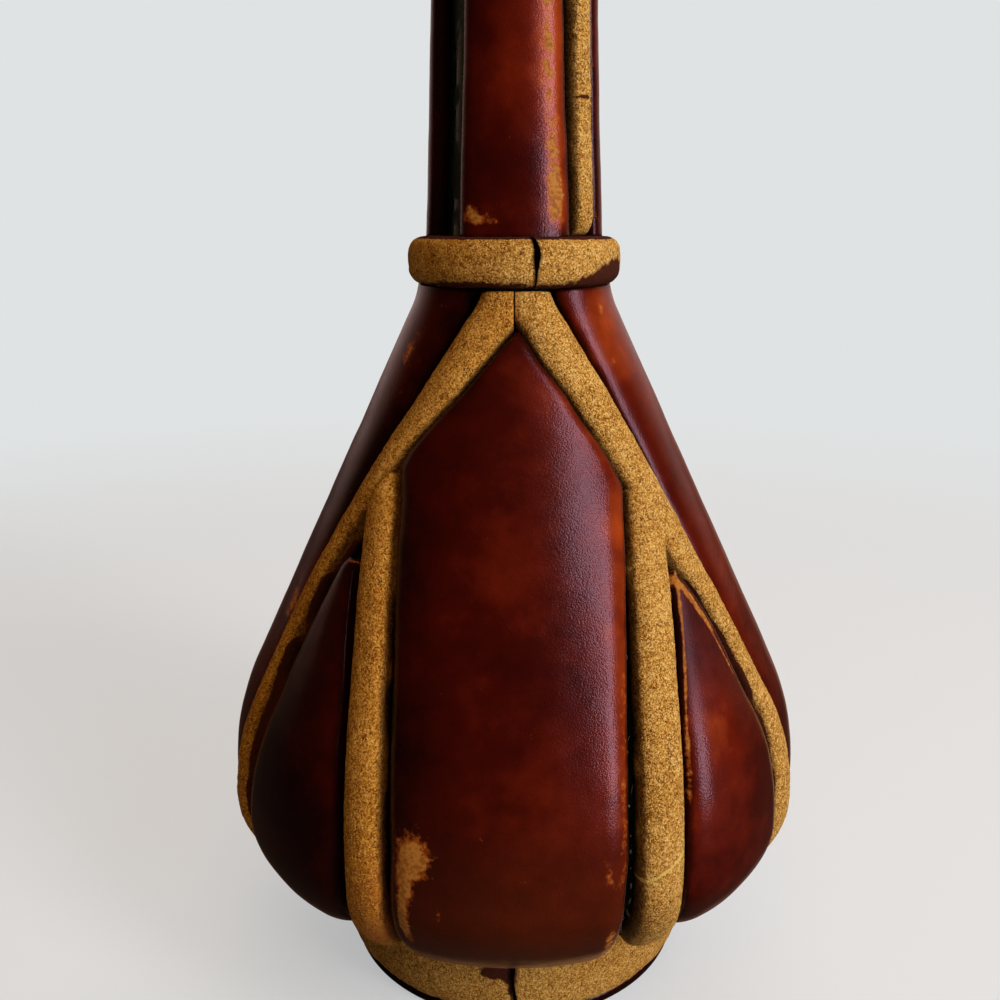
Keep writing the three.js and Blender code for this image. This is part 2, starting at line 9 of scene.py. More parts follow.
import bpy
import numpy as np
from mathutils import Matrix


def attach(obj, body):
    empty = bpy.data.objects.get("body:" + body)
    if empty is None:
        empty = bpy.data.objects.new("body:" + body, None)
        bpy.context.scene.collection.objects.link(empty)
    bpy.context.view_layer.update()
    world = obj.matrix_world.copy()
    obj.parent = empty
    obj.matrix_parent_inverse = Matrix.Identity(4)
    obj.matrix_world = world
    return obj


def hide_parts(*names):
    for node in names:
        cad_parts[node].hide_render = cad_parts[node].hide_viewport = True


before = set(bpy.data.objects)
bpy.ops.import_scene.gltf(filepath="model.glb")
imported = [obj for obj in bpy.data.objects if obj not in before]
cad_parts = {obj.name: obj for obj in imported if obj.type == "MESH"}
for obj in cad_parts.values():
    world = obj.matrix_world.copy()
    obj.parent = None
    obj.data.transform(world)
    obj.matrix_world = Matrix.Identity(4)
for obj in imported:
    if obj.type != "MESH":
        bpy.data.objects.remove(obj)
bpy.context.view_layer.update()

# %% [markdown]
# ## The camera
# The photograph was taken from close by and from a little above, so the belly looks heavy and the neck runs
# out of the frame. The eye point was found from the ellipses of the collar and the foot ring. A wide lens
# at that point gives the same perspective, which no long lens from further away could.

# %% Camera at the photograph's viewing angle
EYE = (0.0, -0.2189, 0.1669)
LOOK_DOWN = math.radians(15.46)
scene = bpy.context.scene
scene.view_settings.view_transform = "Standard"
lens = bpy.data.cameras.new("photo_view")
lens.lens = 36.0
lens.sensor_width = 36.0
lens.shift_x = -0.0143
lens.clip_start = 0.01
photo_view = bpy.data.objects.new("photo_view", lens)
photo_view.location = EYE
photo_view.rotation_euler = (math.pi / 2 - LOOK_DOWN, 0.0, 0.0)
scene.collection.objects.link(photo_view)
scene.camera = photo_view
print("camera at", EYE)

# %% [markdown]
# ## The meridian of the glass
# A blown bottle is round, so one line says all about it: the meridian, from the heel up to the lip. Every
# strap and bead is laid on that line at some distance along it and some angle round the axis. Modelling each
# piece by hand would never make them fit each other. Here they all read the same line, so they do.

# %% The meridian, in millimetres above the table
MM = 0.001
BASE_LIFT = 2.5
HEEL = np.array([38.0, 15.0])
HEEL_HANDLE = 4.0
HEEL_LEAN = math.radians(58)
BELLY = np.array([59.9, 43.5])
BELLY_HANDLE = 10.3
BELLY_ARC = 52.0
CONE_ANGLE = math.radians(25.4)
SHOULDER_RADIUS = 15.3
SHOULDER_BLEND = 5.0
NECK_LENGTH = 106.0
NECK_WAIST = (12.6, 53.0)
NECK_TOP_RADIUS = 11.3


def bezier(*points, count=121):
    """Points along a Bezier curve of any degree."""
    t = np.linspace(0, 1, count)[:, None]
    degree = len(points) - 1
    terms = [math.comb(degree, k) * t**k * (1 - t) ** (degree - k) * p for k, p in enumerate(points)]
    return np.sum(terms, axis=0)


def toward(start, end, distance):
    """The point at a distance from start, on the way to end."""
    return start + (end - start) / np.linalg.norm(end - start) * distance


def glass_meridian():
    """(radius, height) points of the glass, the lengths where its stretches end, the shoulder's height."""
    heel_handle = HEEL + HEEL_HANDLE * np.array([math.cos(HEEL_LEAN), math.sin(HEEL_LEAN)])
    belly_handle = BELLY - np.array([0.0, BELLY_HANDLE])
    turn = np.linspace(0, CONE_ANGLE, 61)[1:]
    arc_centre = BELLY - np.array([BELLY_ARC, 0.0])
    arc = arc_centre + BELLY_ARC * np.column_stack([np.cos(turn), np.sin(turn)])
    cone_start = arc[-1]
    cone_rise = (cone_start[0] - SHOULDER_RADIUS) / math.tan(CONE_ANGLE)
    shoulder = np.array([SHOULDER_RADIUS, cone_start[1] + cone_rise])
    waist = np.array([NECK_WAIST[0], shoulder[1] + NECK_WAIST[1]])
    neck_top = np.array([NECK_TOP_RADIUS, shoulder[1] + NECK_LENGTH])
    cone_end = toward(shoulder, cone_start, SHOULDER_BLEND)
    neck_start = toward(shoulder, waist, SHOULDER_BLEND)
    stretches = [
        bezier(HEEL, heel_handle, belly_handle, BELLY),
        arc,
        np.linspace(cone_start, cone_end, 81)[1:],
        bezier(cone_end, shoulder, neck_start, count=25)[1:],
        bezier(neck_start, waist, neck_top, count=101)[1:],
    ]
    line = np.vstack(stretches) + np.array([0.0, BASE_LIFT])
    lengths = run_lengths(line)
    ends = np.cumsum([len(part) for part in stretches]) - 1
    return line, lengths[ends], shoulder[1] + BASE_LIFT


def run_lengths(line):
    """Length from the start of a line to each of its points."""
    steps = np.linalg.norm(np.diff(line, axis=0), axis=1)
    return np.concatenate([[0.0], np.cumsum(steps)])


glass_line, (belly_s, cone_s, cone_end_s, neck_s, top_s), shoulder_height = glass_meridian()
glass_s = run_lengths(glass_line)
glass_tangent = np.gradient(glass_line, glass_s, axis=0)
glass_tangent /= np.linalg.norm(glass_tangent, axis=1)[:, None]
lip_seat = glass_line[-1, 1]
print("meridian", round(top_s, 1), "mm long, neck top at", round(lip_seat, 1), "mm")

# %% [markdown]
# ## Where straps and beads lie
# Leather straps hang at the front, the back and the sides, each with a bead along both edges. The side
# straps are a little narrower. The bottle tapers, so their beads close in on the front strap and cut its
# top to a point. A drawing program would trace these outlines. One rule gives them all: a bead keeps its
# distance from the middle of its strap. Hand-cut edges stray from the rule. Tables hold by how much.

# %% Layout rules
GLUE = 0.4
FIT = 0.3
GROOVE = 1.6
BEAD = 9.6
BEAD_CROWN = 5.3
BEAD_LAND = 0.6
PAD = 4.8
FRONT_WIDTH = 46.7
SIDE_WIDTH = 43.8
EDGE_SAMPLES = 4001
CROSSING_SAMPLES = 8001
MITRE = 0.02
SEAM = 0.3
TIP = 0.8
HALF_BEAD = BEAD / 2
QUARTER = math.pi / 2


def skin(s):
    """Radius, height, outward normal (two parts) and widening of the glass, s along its meridian."""
    radius = np.interp(s, glass_s, glass_line[:, 0])
    height = np.interp(s, glass_s, glass_line[:, 1])
    widening = np.interp(s, glass_s, glass_tangent[:, 0])
    climb = np.interp(s, glass_s, glass_tangent[:, 1])
    return radius, height, climb, -widening, widening


def face_radius(s, off):
    """Distance from the axis to a point that stands off the glass."""
    radius, _, out, _, _ = skin(s)
    return radius + out * off


class Strap:
    """Lines beside a strap of one width. They are angles from the strap's middle."""

    def __init__(self, width):
        self.width = width
        self.bead_offset = width / 2 + GROOVE + HALF_BEAD

    def bead_line(self, s):
        """Angle to the middle of the bead, and millimetres per radian across it."""
        reach = face_radius(s, GLUE + PAD)
        swing = self.bead_offset / reach
        lean = np.arctan(swing * skin(s)[4])
        return swing, reach * np.cos(lean)

    def beside(self, s, distance):
        swing, spread = self.bead_line(s)
        return swing + distance / spread

    def edge(self, s):
        return self.beside(s, -HALF_BEAD - GROOVE)

    def bead_near(self, s):
        return self.beside(s, -HALF_BEAD)

    def bead_far(self, s):
        return self.beside(s, HALF_BEAD)

    def gusset_edge(self, s):
        return self.beside(s, HALF_BEAD + GROOVE)


front_strap = Strap(FRONT_WIDTH)
side_strap = Strap(SIDE_WIDTH)


def from_side(angle):
    """An angle from a side strap's middle, as an angle from the front."""
    return QUARTER - angle


# Heights and shifts in millimetres, for a diagonal bead's outer edge, its inner edge, the leaf's edge beside
# it, and the inner edge of an upright bead.
SWAY = {
    "front_left": [
        (60, 0.2), (75, 1.2), (92, 2.4), (104, 1.8), (112, 1.2), (122, 0.2), (130, -0.6), (148, -1.3),
    ],
    "front_right": [(58, 0.0), (74, -1.3), (98, -1.2), (125, -0.7), (148, -0.7)],
}
TRIM = {
    "front_left": [
        (58, 2.6), (75, 5.8), (92, 6.4), (104, 5.6), (112, 4.0), (122, 2.8), (133, -0.2), (146, -1.9),
    ],
    "front_right": [
        (48, -1.0), (58, 0.2), (70, 1.8), (86, 2.0), (93, 1.3), (100, 0.0), (133, -0.6), (139, -1.3),
        (146, -0.8),
    ],
}
LEAF_TRIM = {
    "front_left": [(58, 0.6), (75, 2.6), (92, 3.6), (104, 4.0), (112, 3.2)],
    "front_right": [(48, -1.4), (58, 0.0), (70, 1.6), (86, 1.8), (93, 1.2), (100, 0.0)],
}
UPRIGHT_TRIM = {"front_left": [(30, 0.6), (75, 1.5), (100, 1.2)]}


def millimetres(table, s):
    """Angle for a length that a table of (height, length) gives, 0 without a table."""
    radius, height, _, _, _ = skin(s)
    return np.interp(height, *zip(*(table or [(0, 0)]))) / radius


def diagonal_near(s, quarter):
    """The inner edge of a side strap's bead. The beads at the front aren't cut quite alike."""
    return from_side(side_strap.bead_far(s)) + millimetres(TRIM.get(quarter), s)


def diagonal_far(s, quarter):
    return from_side(side_strap.bead_near(s)) + millimetres(SWAY.get(quarter), s)


def gap_angle(s, gap):
    """Angle that a gap takes up at the face of the leather."""
    return gap / face_radius(s, GLUE + PAD)


def tip_angle(s):
    return gap_angle(s, TIP)


def where_edge(height, off, low, high):
    """Where a wall of a given height off the glass has its outer edge at a height above the table."""
    s = np.linspace(low, high, EDGE_SAMPLES)
    _, z, _, up, _ = skin(s)
    return float(np.interp(height, z + up * off, s))


def crossing(rule, low, high):
    """Where a rule changes sign between low and high."""
    s = np.linspace(low, high, CROSSING_SAMPLES)
    values = rule(s)
    change = np.nonzero(np.sign(values[1:]) != np.sign(values[:-1]))[0]
    return float(s[change[0]]) if len(change) else low


FOOT_RING = 15.0
COLLAR_RISE = 2.8
COLLAR_RING = 10.0
MOUTH_RING = 8.5
NECK_PAD = 3.5
SNUG = 0.05
FOOT = (BASE_LIFT + FIT, BASE_LIFT + FIT + FOOT_RING)
COLLAR = (shoulder_height + COLLAR_RISE, shoulder_height + COLLAR_RISE + COLLAR_RING)
MOUTH = (lip_seat - FIT - MOUTH_RING, lip_seat - FIT)
body_low = where_edge(FOOT[1] + FIT, GLUE + BEAD_CROWN, 0.0, belly_s)
body_high = where_edge(COLLAR[0] - SNUG, GLUE + BEAD_CROWN, cone_s, neck_s)
neck_low = where_edge(COLLAR[1] + SNUG, GLUE, cone_end_s, top_s)
neck_high = where_edge(MOUTH[0] - FIT, GLUE + NECK_PAD, neck_s, top_s)
print("body from", round(body_low, 1), "to", round(body_high, 1), "mm along the meridian")

# %% [markdown]
# ## Formulas as nodes
# Both Geometry Nodes and materials are trees of small steps. Typing out each Math node hides the idea, so a
# small class wraps a socket: adding or multiplying two wrapped sockets adds the node that does it. Any other
# node comes from one method that takes its type, its settings and what goes into its sockets.

# %% A socket that can be calculated with
class Wire:
    """A socket that takes part in formulas. Each operator adds one Math node."""

    def __init__(self, bench, socket):
        self.bench = bench
        self.socket = socket

    def out(self, name):
        """Another output of the same node."""
        return Wire(self.bench, self.socket.node.outputs[name])

    def math(self, operation, *values):
        return self.bench.node("ShaderNodeMath", {"operation": operation}, dict(enumerate(values)))

    def __add__(self, other):
        return self.math("ADD", self, other)

    def __radd__(self, other):
        return self.math("ADD", other, self)

    def __sub__(self, other):
        return self.math("SUBTRACT", self, other)

    def __rsub__(self, other):
        return self.math("SUBTRACT", other, self)

    def __mul__(self, other):
        return self.math("MULTIPLY", self, other)

    def __rtruediv__(self, other):
        return self.math("DIVIDE", other, self)

    def sin(self):
        return self.math("SINE", self)

    def cos(self):
        return self.math("COSINE", self)


class Bench:
    """A node tree, and the one method that puts nodes on it."""

    def __init__(self, tree):
        self.tree = tree

    def node(self, kind, settings=None, inputs=None, output=0):
        made = self.tree.nodes.new(kind)
        for name, value in (settings or {}).items():
            if name == "stops":
                self.lay_stops(made.color_ramp, value)
            else:
                setattr(made, name, value)
        for key, value in (inputs or {}).items():
            socket = made.inputs[key]
            if isinstance(value, Wire):
                self.tree.links.new(value.socket, socket)
            else:
                socket.default_value = value
        return Wire(self, made.outputs[output]) if made.outputs else None

    @staticmethod
    def lay_stops(ramp, stops):
        while len(ramp.elements) < len(stops):
            ramp.elements.new(1.0)
        for element, (place, colour) in zip(ramp.elements, stops):
            element.position = place
            element.color = (*colour, 1.0)


print("formula wires ready")

# %% [markdown]
# ## A tree that lays a flat pattern on a turned form
# A saddler cuts leather flat and then moulds it over the glass. The tree does the same. Each piece arrives as
# a flat pattern whose points know how far along the meridian they belong, at what angle, and how high they
# stand off the glass. The tree samples the meridian there, adds lumps and grain, and puts the point in place.
# A lattice or a shrinkwrap could bend a mesh too, but neither keeps the sizes exact.

# %% The laying tree
WELD = 1e-6
GRAIN_SEED_SHIFT = 7.3


def group_input(bench, name, kind):
    bench.tree.interface.new_socket(name=name, in_out="INPUT", socket_type=kind)


def named_field(bench, name):
    return bench.node("GeometryNodeInputNamedAttribute", {"data_type": "FLOAT"}, {"Name": name})


def seeded_noise(bench, place, seed, size):
    """Noise around zero, with features of a size in metres."""
    settings = {"noise_dimensions": "4D"}
    inputs = {"Vector": place, "W": seed, "Scale": 1.0 / size, "Detail": 2.0, "Roughness": 0.5}
    return bench.node("ShaderNodeTexNoise", settings, inputs) - 0.5


def laying_tree():
    tree = bpy.data.node_groups.new("lay_on_turned_form", "GeometryNodeTree")
    bench = Bench(tree)
    tree.interface.new_socket(name="Geometry", in_out="OUTPUT", socket_type="NodeSocketGeometry")
    for name, kind in [
        ("Pattern", "NodeSocketGeometry"),
        ("Meridian", "NodeSocketObject"),
        ("Lump Size", "NodeSocketFloat"),
        ("Lump Height", "NodeSocketFloat"),
        ("Grain Size", "NodeSocketFloat"),
        ("Grain Height", "NodeSocketFloat"),
        ("Seed", "NodeSocketFloat"),
        ("Finish", "NodeSocketMaterial"),
    ]:
        group_input(bench, name, kind)
    given = bench.node("NodeGroupInput")
    along, azimuth = named_field(bench, "along"), named_field(bench, "azimuth")
    rise, face = named_field(bench, "rise"), named_field(bench, "face")
    line = bench.node("GeometryNodeObjectInfo", None, {"Object": given.out("Meridian")}).out("Geometry")
    sample = bench.node("GeometryNodeSampleCurve", {"mode": "LENGTH"}, {"Curves": line, "Length": along})
    place = bench.node("ShaderNodeSeparateXYZ", None, {0: sample.out("Position")})
    tangent = bench.node("ShaderNodeSeparateXYZ", None, {0: sample.out("Tangent")})
    sine, cosine = azimuth.sin(), azimuth.cos()

    def around(radius, height):
        place = {0: radius * sine, 1: radius * cosine * -1.0, 2: height}
        return bench.node("ShaderNodeCombineXYZ", None, place)

    home = around(place.out("X"), place.out("Z"))
    seed = given.out("Seed")
    lump = seeded_noise(bench, home, seed, given.out("Lump Size")) * given.out("Lump Height")
    grain = seeded_noise(bench, home, seed + GRAIN_SEED_SHIFT, given.out("Grain Size"))
    off = rise + face * (lump + grain * given.out("Grain Height"))
    radius = place.out("X") + tangent.out("Z") * off
    height = place.out("Z") - tangent.out("X") * off
    moved = {"Geometry": given.out("Pattern"), "Position": around(radius, height)}
    laid = bench.node("GeometryNodeSetPosition", None, moved)
    closed = bench.node("GeometryNodeMergeByDistance", None, {"Geometry": laid, "Distance": WELD})
    smooth = bench.node("GeometryNodeSetShadeSmooth", None, {"Geometry": closed})
    real = bench.node("GeometryNodeRealizeInstances", None, {"Geometry": smooth})
    done = bench.node("GeometryNodeSetMaterial", None, {"Geometry": real, "Material": given.out("Finish")})
    bench.node("NodeGroupOutput", None, {"Geometry": done})
    return tree


lay_on_turned_form = laying_tree()
print("tree", lay_on_turned_form.name, "with", len(lay_on_turned_form.nodes), "nodes")

# %% [markdown]
# ## Using a tree
# A tree becomes a shape when a modifier holds it. The modifier's inputs are set by socket identifier before
# Blender evaluates the object. Then the evaluated result is copied to a plain mesh and the modifier goes, so
# that a finished piece is nothing but its mesh.

# %% Running a tree and keeping its mesh
def input_keys(tree):
    items = tree.interface.items_tree
    return {item.name: item.identifier for item in items if item.in_out == "INPUT"}


def run_tree(name, mesh, tree, values):
    """An object whose plain mesh is what the tree makes of a mesh."""
    made = bpy.data.objects.new(name, mesh)
    scene.collection.objects.link(made)
    modifier = made.modifiers.new("tree", "NODES")
    modifier.node_group = tree
    keys = input_keys(tree)
    for socket, value in values.items():
        modifier[keys[socket]] = value
    depsgraph = bpy.context.evaluated_depsgraph_get()
    plain = bpy.data.meshes.new_from_object(made.evaluated_get(depsgraph))
    made.modifiers.clear()
    made.data = plain
    plain.name = name
    bpy.data.meshes.remove(mesh)
    return made


def guide_line(name, points):
    """A curve object through points in metres, for a tree to sample. It is removed at the end."""
    curve = bpy.data.curves.new(name, "CURVE")
    curve.dimensions = "3D"
    spline = curve.splines.new("POLY")
    spline.points.add(len(points) - 1)
    spline.points.foreach_set("co", np.column_stack([points, np.ones(len(points))]).ravel())
    made = bpy.data.objects.new(name, curve)
    scene.collection.objects.link(made)
    guides.append(made)
    return made


def turned_guide(name, line):
    """A guide in the XZ plane from (radius, height) points in millimetres."""
    radius, height = np.asarray(line).T * MM
    return guide_line(name, np.column_stack([radius, np.zeros_like(radius), height]))


guides = []
glass_guide = turned_guide("glass_meridian", glass_line)
print("guide", glass_guide.name, "with", len(glass_line), "points")

# %% [markdown]
# ## Cutting the flat patterns
# A pattern is a grid: rows along the meridian, columns across. Over it lies the face that shows, under it a
# coarser underside, and walls join the two, so every piece is a closed solid. Besides its place, a point
# stores how far it is from the cut edge, how worn or stained the surface is there, and where light and shade
# are painted on it. The materials read those numbers, so dye and wear follow the edges of each piece.

# %% Pattern meshes
UNDER_STRIDE = 4
KNOTS = 512
FIRST_KNOT = 3


def mesh_from(name, faces, fields):
    """A mesh from faces and named numbers at its points."""
    count = len(fields["along"])
    mesh = bpy.data.meshes.new(name)
    flat = np.column_stack([fields["azimuth"], fields["along"], fields["rise"]])
    mesh.from_pydata(flat.tolist(), [], faces)
    for key, values in fields.items():
        layer = mesh.attributes.new(key, "FLOAT", "POINT")
        layer.data.foreach_set("value", np.broadcast_to(values, count).astype(np.float32))
    return mesh


def grid_faces(at, flip=False):
    """Quads of a grid of point numbers, rows upwards and columns to the right."""
    quads = np.stack([at[:-1, :-1], at[:-1, 1:], at[1:, 1:], at[1:, :-1]], -1).reshape(-1, 4)
    return (quads[:, ::-1] if flip else quads).tolist()


def end_wall(top, under, flip):
    """Triangles between the end rows of a face and of its coarser underside."""
    faces = []
    nearest = [under[round(j / UNDER_STRIDE)] for j in range(len(top))]
    for j in range(len(top) - 1):
        faces.append((top[j], nearest[j], top[j + 1]))
        if nearest[j] != nearest[j + 1]:
            faces.append((nearest[j], nearest[j + 1], top[j + 1]))
    return [face[::-1] for face in faces] if flip else faces


def closed_pattern(name, fields):
    """A solid pattern from fields on a grid of rows and columns."""
    rows, columns = fields["along"].shape
    top = np.arange(rows * columns).reshape(rows, columns)
    under_columns = np.arange(0, columns, UNDER_STRIDE)
    under = top.size + np.arange(rows * len(under_columns)).reshape(rows, -1)
    faces = grid_faces(top) + grid_faces(under, flip=True)
    faces += grid_faces(np.column_stack([under[:, 0], top[:, 0]]))
    faces += grid_faces(np.column_stack([top[:, -1], under[:, -1]]))
    faces += end_wall(top[0].tolist(), under[0].tolist(), False)
    faces += end_wall(top[-1].tolist(), under[-1].tolist(), True)
    both = {}
    for key, values in fields.items():
        below = values[:, under_columns]
        if key in ("rise", "face"):
            below = np.zeros_like(below)
        both[key] = np.concatenate([values.ravel(), below.ravel()])
    both["rise"] = both["rise"] + GLUE * MM
    return mesh_from(name, faces, both)


def round_shares(count, crowding):
    """Shares from 0 to 1: even at crowding 0, crowded at the ends as on a half circle at 1."""
    even = np.linspace(0, 1, count)
    return (1 - crowding) * even + crowding * (1 - np.cos(np.pi * even)) / 2


def column_count(width, step):
    return UNDER_STRIDE * max(3, round(width / step / UNDER_STRIDE)) + 1


def round_over(share):
    """A quarter-round rise from 0 at the edge to 1."""
    return np.sqrt(1 - (1 - np.clip(share, 0, 1)) ** 2)


def soft_least(distances, softness):
    """The least of several distances, with the creases between them rounded."""
    return -softness * np.log(sum(np.exp(-d / softness) for d in distances))


def wobble(s, size, seed):
    """A smooth random line between -1 and 1, with features of a size in millimetres."""
    knots = np.random.default_rng(seed).uniform(-1, 1, KNOTS)
    x = np.asarray(s) / size + FIRST_KNOT
    k = np.floor(x).astype(int)
    t = x - k
    t = t * t * (3 - 2 * t)
    return knots[k] * (1 - t) + knots[k + 1] * t


def smooth_step(x, low, high):
    t = np.clip((x - low) / (high - low), 0, 1)
    return t * t * (3 - 2 * t)


print("pattern tools ready")

# %% [markdown]
# ## Marks of use, painted light and shade
# Old dye wears off where a hand or a shelf rubs: at edges and corners, in ragged patches. Painting a texture
# would fix the marks to one picture. Here a mark is a soft spot or a streak along an edge, given by its
# angle, height and size on the real bottle. The material breaks its border up into scuffs.
# The same spots and streaks also paint light on the side towards the window and shade on the side away from
# it.

# %% Spots and streaks
def spot(place, angle, height, width, tall, strength):
    """A soft round mark. Angle in degrees, the rest in millimetres."""
    aside = (place["azimuth"] - math.radians(angle)) * place["radius"] / (width / 2)
    above = (place["height"] - height) / (tall / 2)
    return strength * np.exp(-(aside**2) - above**2)


def streak(place, side, low, high, inset, width, strength, fade=6.0):
    """A mark along one edge between two heights. Inset is its distance from that edge."""
    begun = smooth_step(place["height"], low - fade / 2, low + fade / 2)
    ended = smooth_step(place["height"], high - fade / 2, high + fade / 2)
    between = begun * (1 - ended)
    return strength * between * np.exp(-(((place[side] - inset) / width) ** 2))


def marks(place, *each):
    """The sum of several marks."""
    total = np.zeros_like(place["azimuth"])
    for make, *numbers in each:
        total = total + make(place, *numbers)
    return total


print("marks:", spot.__name__, streak.__name__)

# %% [markdown]
# ## Quarters
# The dressing is the same in each quarter of the bottle, mirrored from one to the next. A rule is therefore
# written once, for the front right quarter, and carried round.

# %% The four quarters
QUARTERS = {
    "front_right": (1, 0.0),
    "front_left": (-1, 0.0),
    "back_right": (-1, math.pi),
    "back_left": (1, math.pi),
}
LEAST_ROWS = 12
ROW_CROWDING = 0.25


def wrapped(angle):
    """The same angle, between minus half a turn and half a turn."""
    return (angle + math.pi) % (2 * math.pi) - math.pi


def piece_grid(start, end, low, high, width, step, turn, crowding):
    """Grid of a laid piece: s, home azimuth and own azimuth, with own azimuth rising to the right."""
    sign, offset = turn
    row_count = max(LEAST_ROWS, round((end - start) / step))
    rows = start + (end - start) * round_shares(row_count, ROW_CROWDING)
    shares = round_shares(column_count(width, step), crowding)
    s = np.repeat(rows[:, None], len(shares), axis=1)
    lows, highs = low(rows)[:, None], high(rows)[:, None]
    home = lows + (highs - lows) * (shares[None, :] if sign > 0 else shares[None, ::-1])
    return s, home, sign * home + offset


def where_on_glass(s, home, own, low, high, start, end, sign):
    """Distances in millimetres that the marks and the edges of a piece go by."""
    radius, height, _, _, _ = skin(s)
    near_low = (home - low(s)) * radius
    near_high = (high(s) - home) * radius
    left, right = (near_low, near_high) if sign > 0 else (near_high, near_low)
    return {
        "azimuth": wrapped(own), "height": height, "radius": radius,
        "left": left, "right": right, "bottom": s - start, "top": end - s,
    }


def laid_fields(s, own, rise, place, marks_and_painted_light):
    """The numbers a pattern carries. Lengths go from millimetres to metres."""
    edge = np.minimum.reduce([place["left"], place["right"], place["bottom"], place["top"]])
    fields = {"along": s * MM, "azimuth": own, "rise": rise * MM, "face": np.ones_like(s), "edge": edge * MM}
    for key, values in marks_and_painted_light.items():
        fields[key] = np.broadcast_to(values, s.shape)
    return fields


print("quarters", list(QUARTERS))

# %% [markdown]
# ## Leather
# The leather is calf, dyed a deep red-brown, brushed with darker dye at the edges and polished. Close up it
# has a pebbled grain, clouds of lighter dye and bare tan hide where it is worn. One flat brown with a bump
# map would look like plastic. The clouds, the grain and the worn hide are separate layers, each at its own
# scale, and worn hide is rougher than the polished dye. The clouds also carry painted light and shade,
# lighter on the side towards the window and darker on the side away from it. Where the leather turns away
# from the eye, a pale painted reflection of the wall behind is mixed into its colour.

# %% Shader helpers and the leather finish
def new_finish(name):
    finish = bpy.data.materials.new(name)
    finish.use_nodes = True
    finish.node_tree.nodes.clear()
    return finish, Bench(finish.node_tree)


def blend_colours(bench, factor, first, second, way="MIX"):
    settings = {"data_type": "RGBA", "clamp_factor": True, "blend_type": way}
    return bench.node("ShaderNodeMix", settings, {0: factor, 6: first, 7: second}, output=2)


def stored(bench, name):
    settings = {"attribute_type": "GEOMETRY", "attribute_name": name}
    return bench.node("ShaderNodeAttribute", settings).out("Fac")


def noise(bench, place, size, detail=3.0, roughness=0.55):
    """Noise with features of a size in metres."""
    inputs = {"Vector": place, "Scale": 1 / size, "Detail": detail, "Roughness": roughness}
    return bench.node("ShaderNodeTexNoise", {"noise_dimensions": "3D"}, inputs)


def cells(bench, place, size):
    return bench.node("ShaderNodeTexVoronoi", {"feature": "F1"}, {"Vector": place, "Scale": 1 / size})


def soft_range(bench, value, low, high):
    """0 below low, 1 above high, smooth between."""
    settings = {"interpolation_type": "SMOOTHSTEP"}
    return bench.node("ShaderNodeMapRange", settings, {0: value, 1: low, 2: high, 3: 0.0, 4: 1.0})


def object_place(bench):
    return bench.node("ShaderNodeTexCoord").out("Object")


def bump(bench, height, distance, strength):
    return bench.node("ShaderNodeBump", None, {"Height": height, "Distance": distance, "Strength": strength})


def surface(bench, sockets):
    shader = bench.node("ShaderNodeBsdfPrincipled", None, sockets)
    bench.node("ShaderNodeOutputMaterial", None, {"Surface": shader})


def rgb(red, green, blue):
    return (red, green, blue, 1.0)


def leather_finish(name):
    finish, bench = new_finish(name)
    place = object_place(bench)
    clouds = noise(bench, place, 0.024, detail=4.0)
    mottle = noise(bench, place, 0.0045)
    scuffs = noise(bench, place, 0.0026, detail=8.0, roughness=0.72)
    flecks = noise(bench, place, 0.0008)
    pebbles = cells(bench, place, 0.00036).out("Distance")
    creases = noise(bench, place, 0.0004)

    # The stored tone number lightens or darkens the dye: partly real tone, partly painted light and shade on
    # the window side and the side away from it.
    tone = clouds * 0.8 + mottle * 0.35 + stored(bench, "glow") * 0.6 - 0.26
    stops = [
        (0.0, (0.010, 0.0007, 0.0003)),
        (0.35, (0.046, 0.0024, 0.0006)),
        (0.62, (0.110, 0.0075, 0.0014)),
        (1.0, (0.34, 0.046, 0.006)),
    ]
    dyed = bench.node("ShaderNodeValToRGB", {"stops": stops}, {0: tone})
    dyed = blend_colours(bench, stored(bench, "brown"), dyed, rgb(0.085, 0.0165, 0.003))
    brushed = 1 - soft_range(bench, stored(bench, "edge") + (mottle - 0.5) * 0.0012, 0.0001, 0.0013)
    dyed = blend_colours(bench, brushed * 0.8, dyed, rgb(0.010, 0.0011, 0.0005))

    rubbed = stored(bench, "wear") + (scuffs - 0.5) * 1.5 + (flecks - 0.5) * 0.5
    bare = soft_range(bench, rubbed, 0.52, 0.58)
    thin = soft_range(bench, rubbed, 0.24, 0.56)
    speckle = soft_range(bench, flecks, 0.38, 0.62)
    hide = blend_colours(bench, speckle, rgb(0.28, 0.092, 0.010), rgb(0.45, 0.180, 0.026))
    dyed = blend_colours(bench, thin * 0.6, dyed, rgb(0.46, 0.105, 0.012))
    # Painted reflection: a pale sheen of the wall behind, mixed into the colour where the surface turns away
    # from the eye.
    facing = bench.node("ShaderNodeLayerWeight", None, {"Blend": 0.5}).out("Facing")
    haze = soft_range(bench, facing, 0.79, 1.0)
    dyed = blend_colours(bench, haze * 0.6, dyed, rgb(0.46, 0.21, 0.17))
    colour = blend_colours(bench, bare, dyed, hide)

    grain = (1 - pebbles) * 0.6 + creases * 0.3
    grain = grain * (1 - bare * 0.5) - bare * 0.6
    sockets = {
        "Base Color": colour,
        "Roughness": 0.20 + mottle * 0.08 + bare * 0.42 + stored(bench, "matt") * 0.22,
        "Normal": bump(bench, grain, 0.00011, 0.5),
        "Specular IOR Level": 0.22,
        "Specular Tint": rgb(1.0, 0.64, 0.84),
    }
    surface(bench, sockets)
    return finish


leather = leather_finish("dyed_leather")
print("finish", leather.name, "with", len(leather.node_tree.nodes), "nodes")
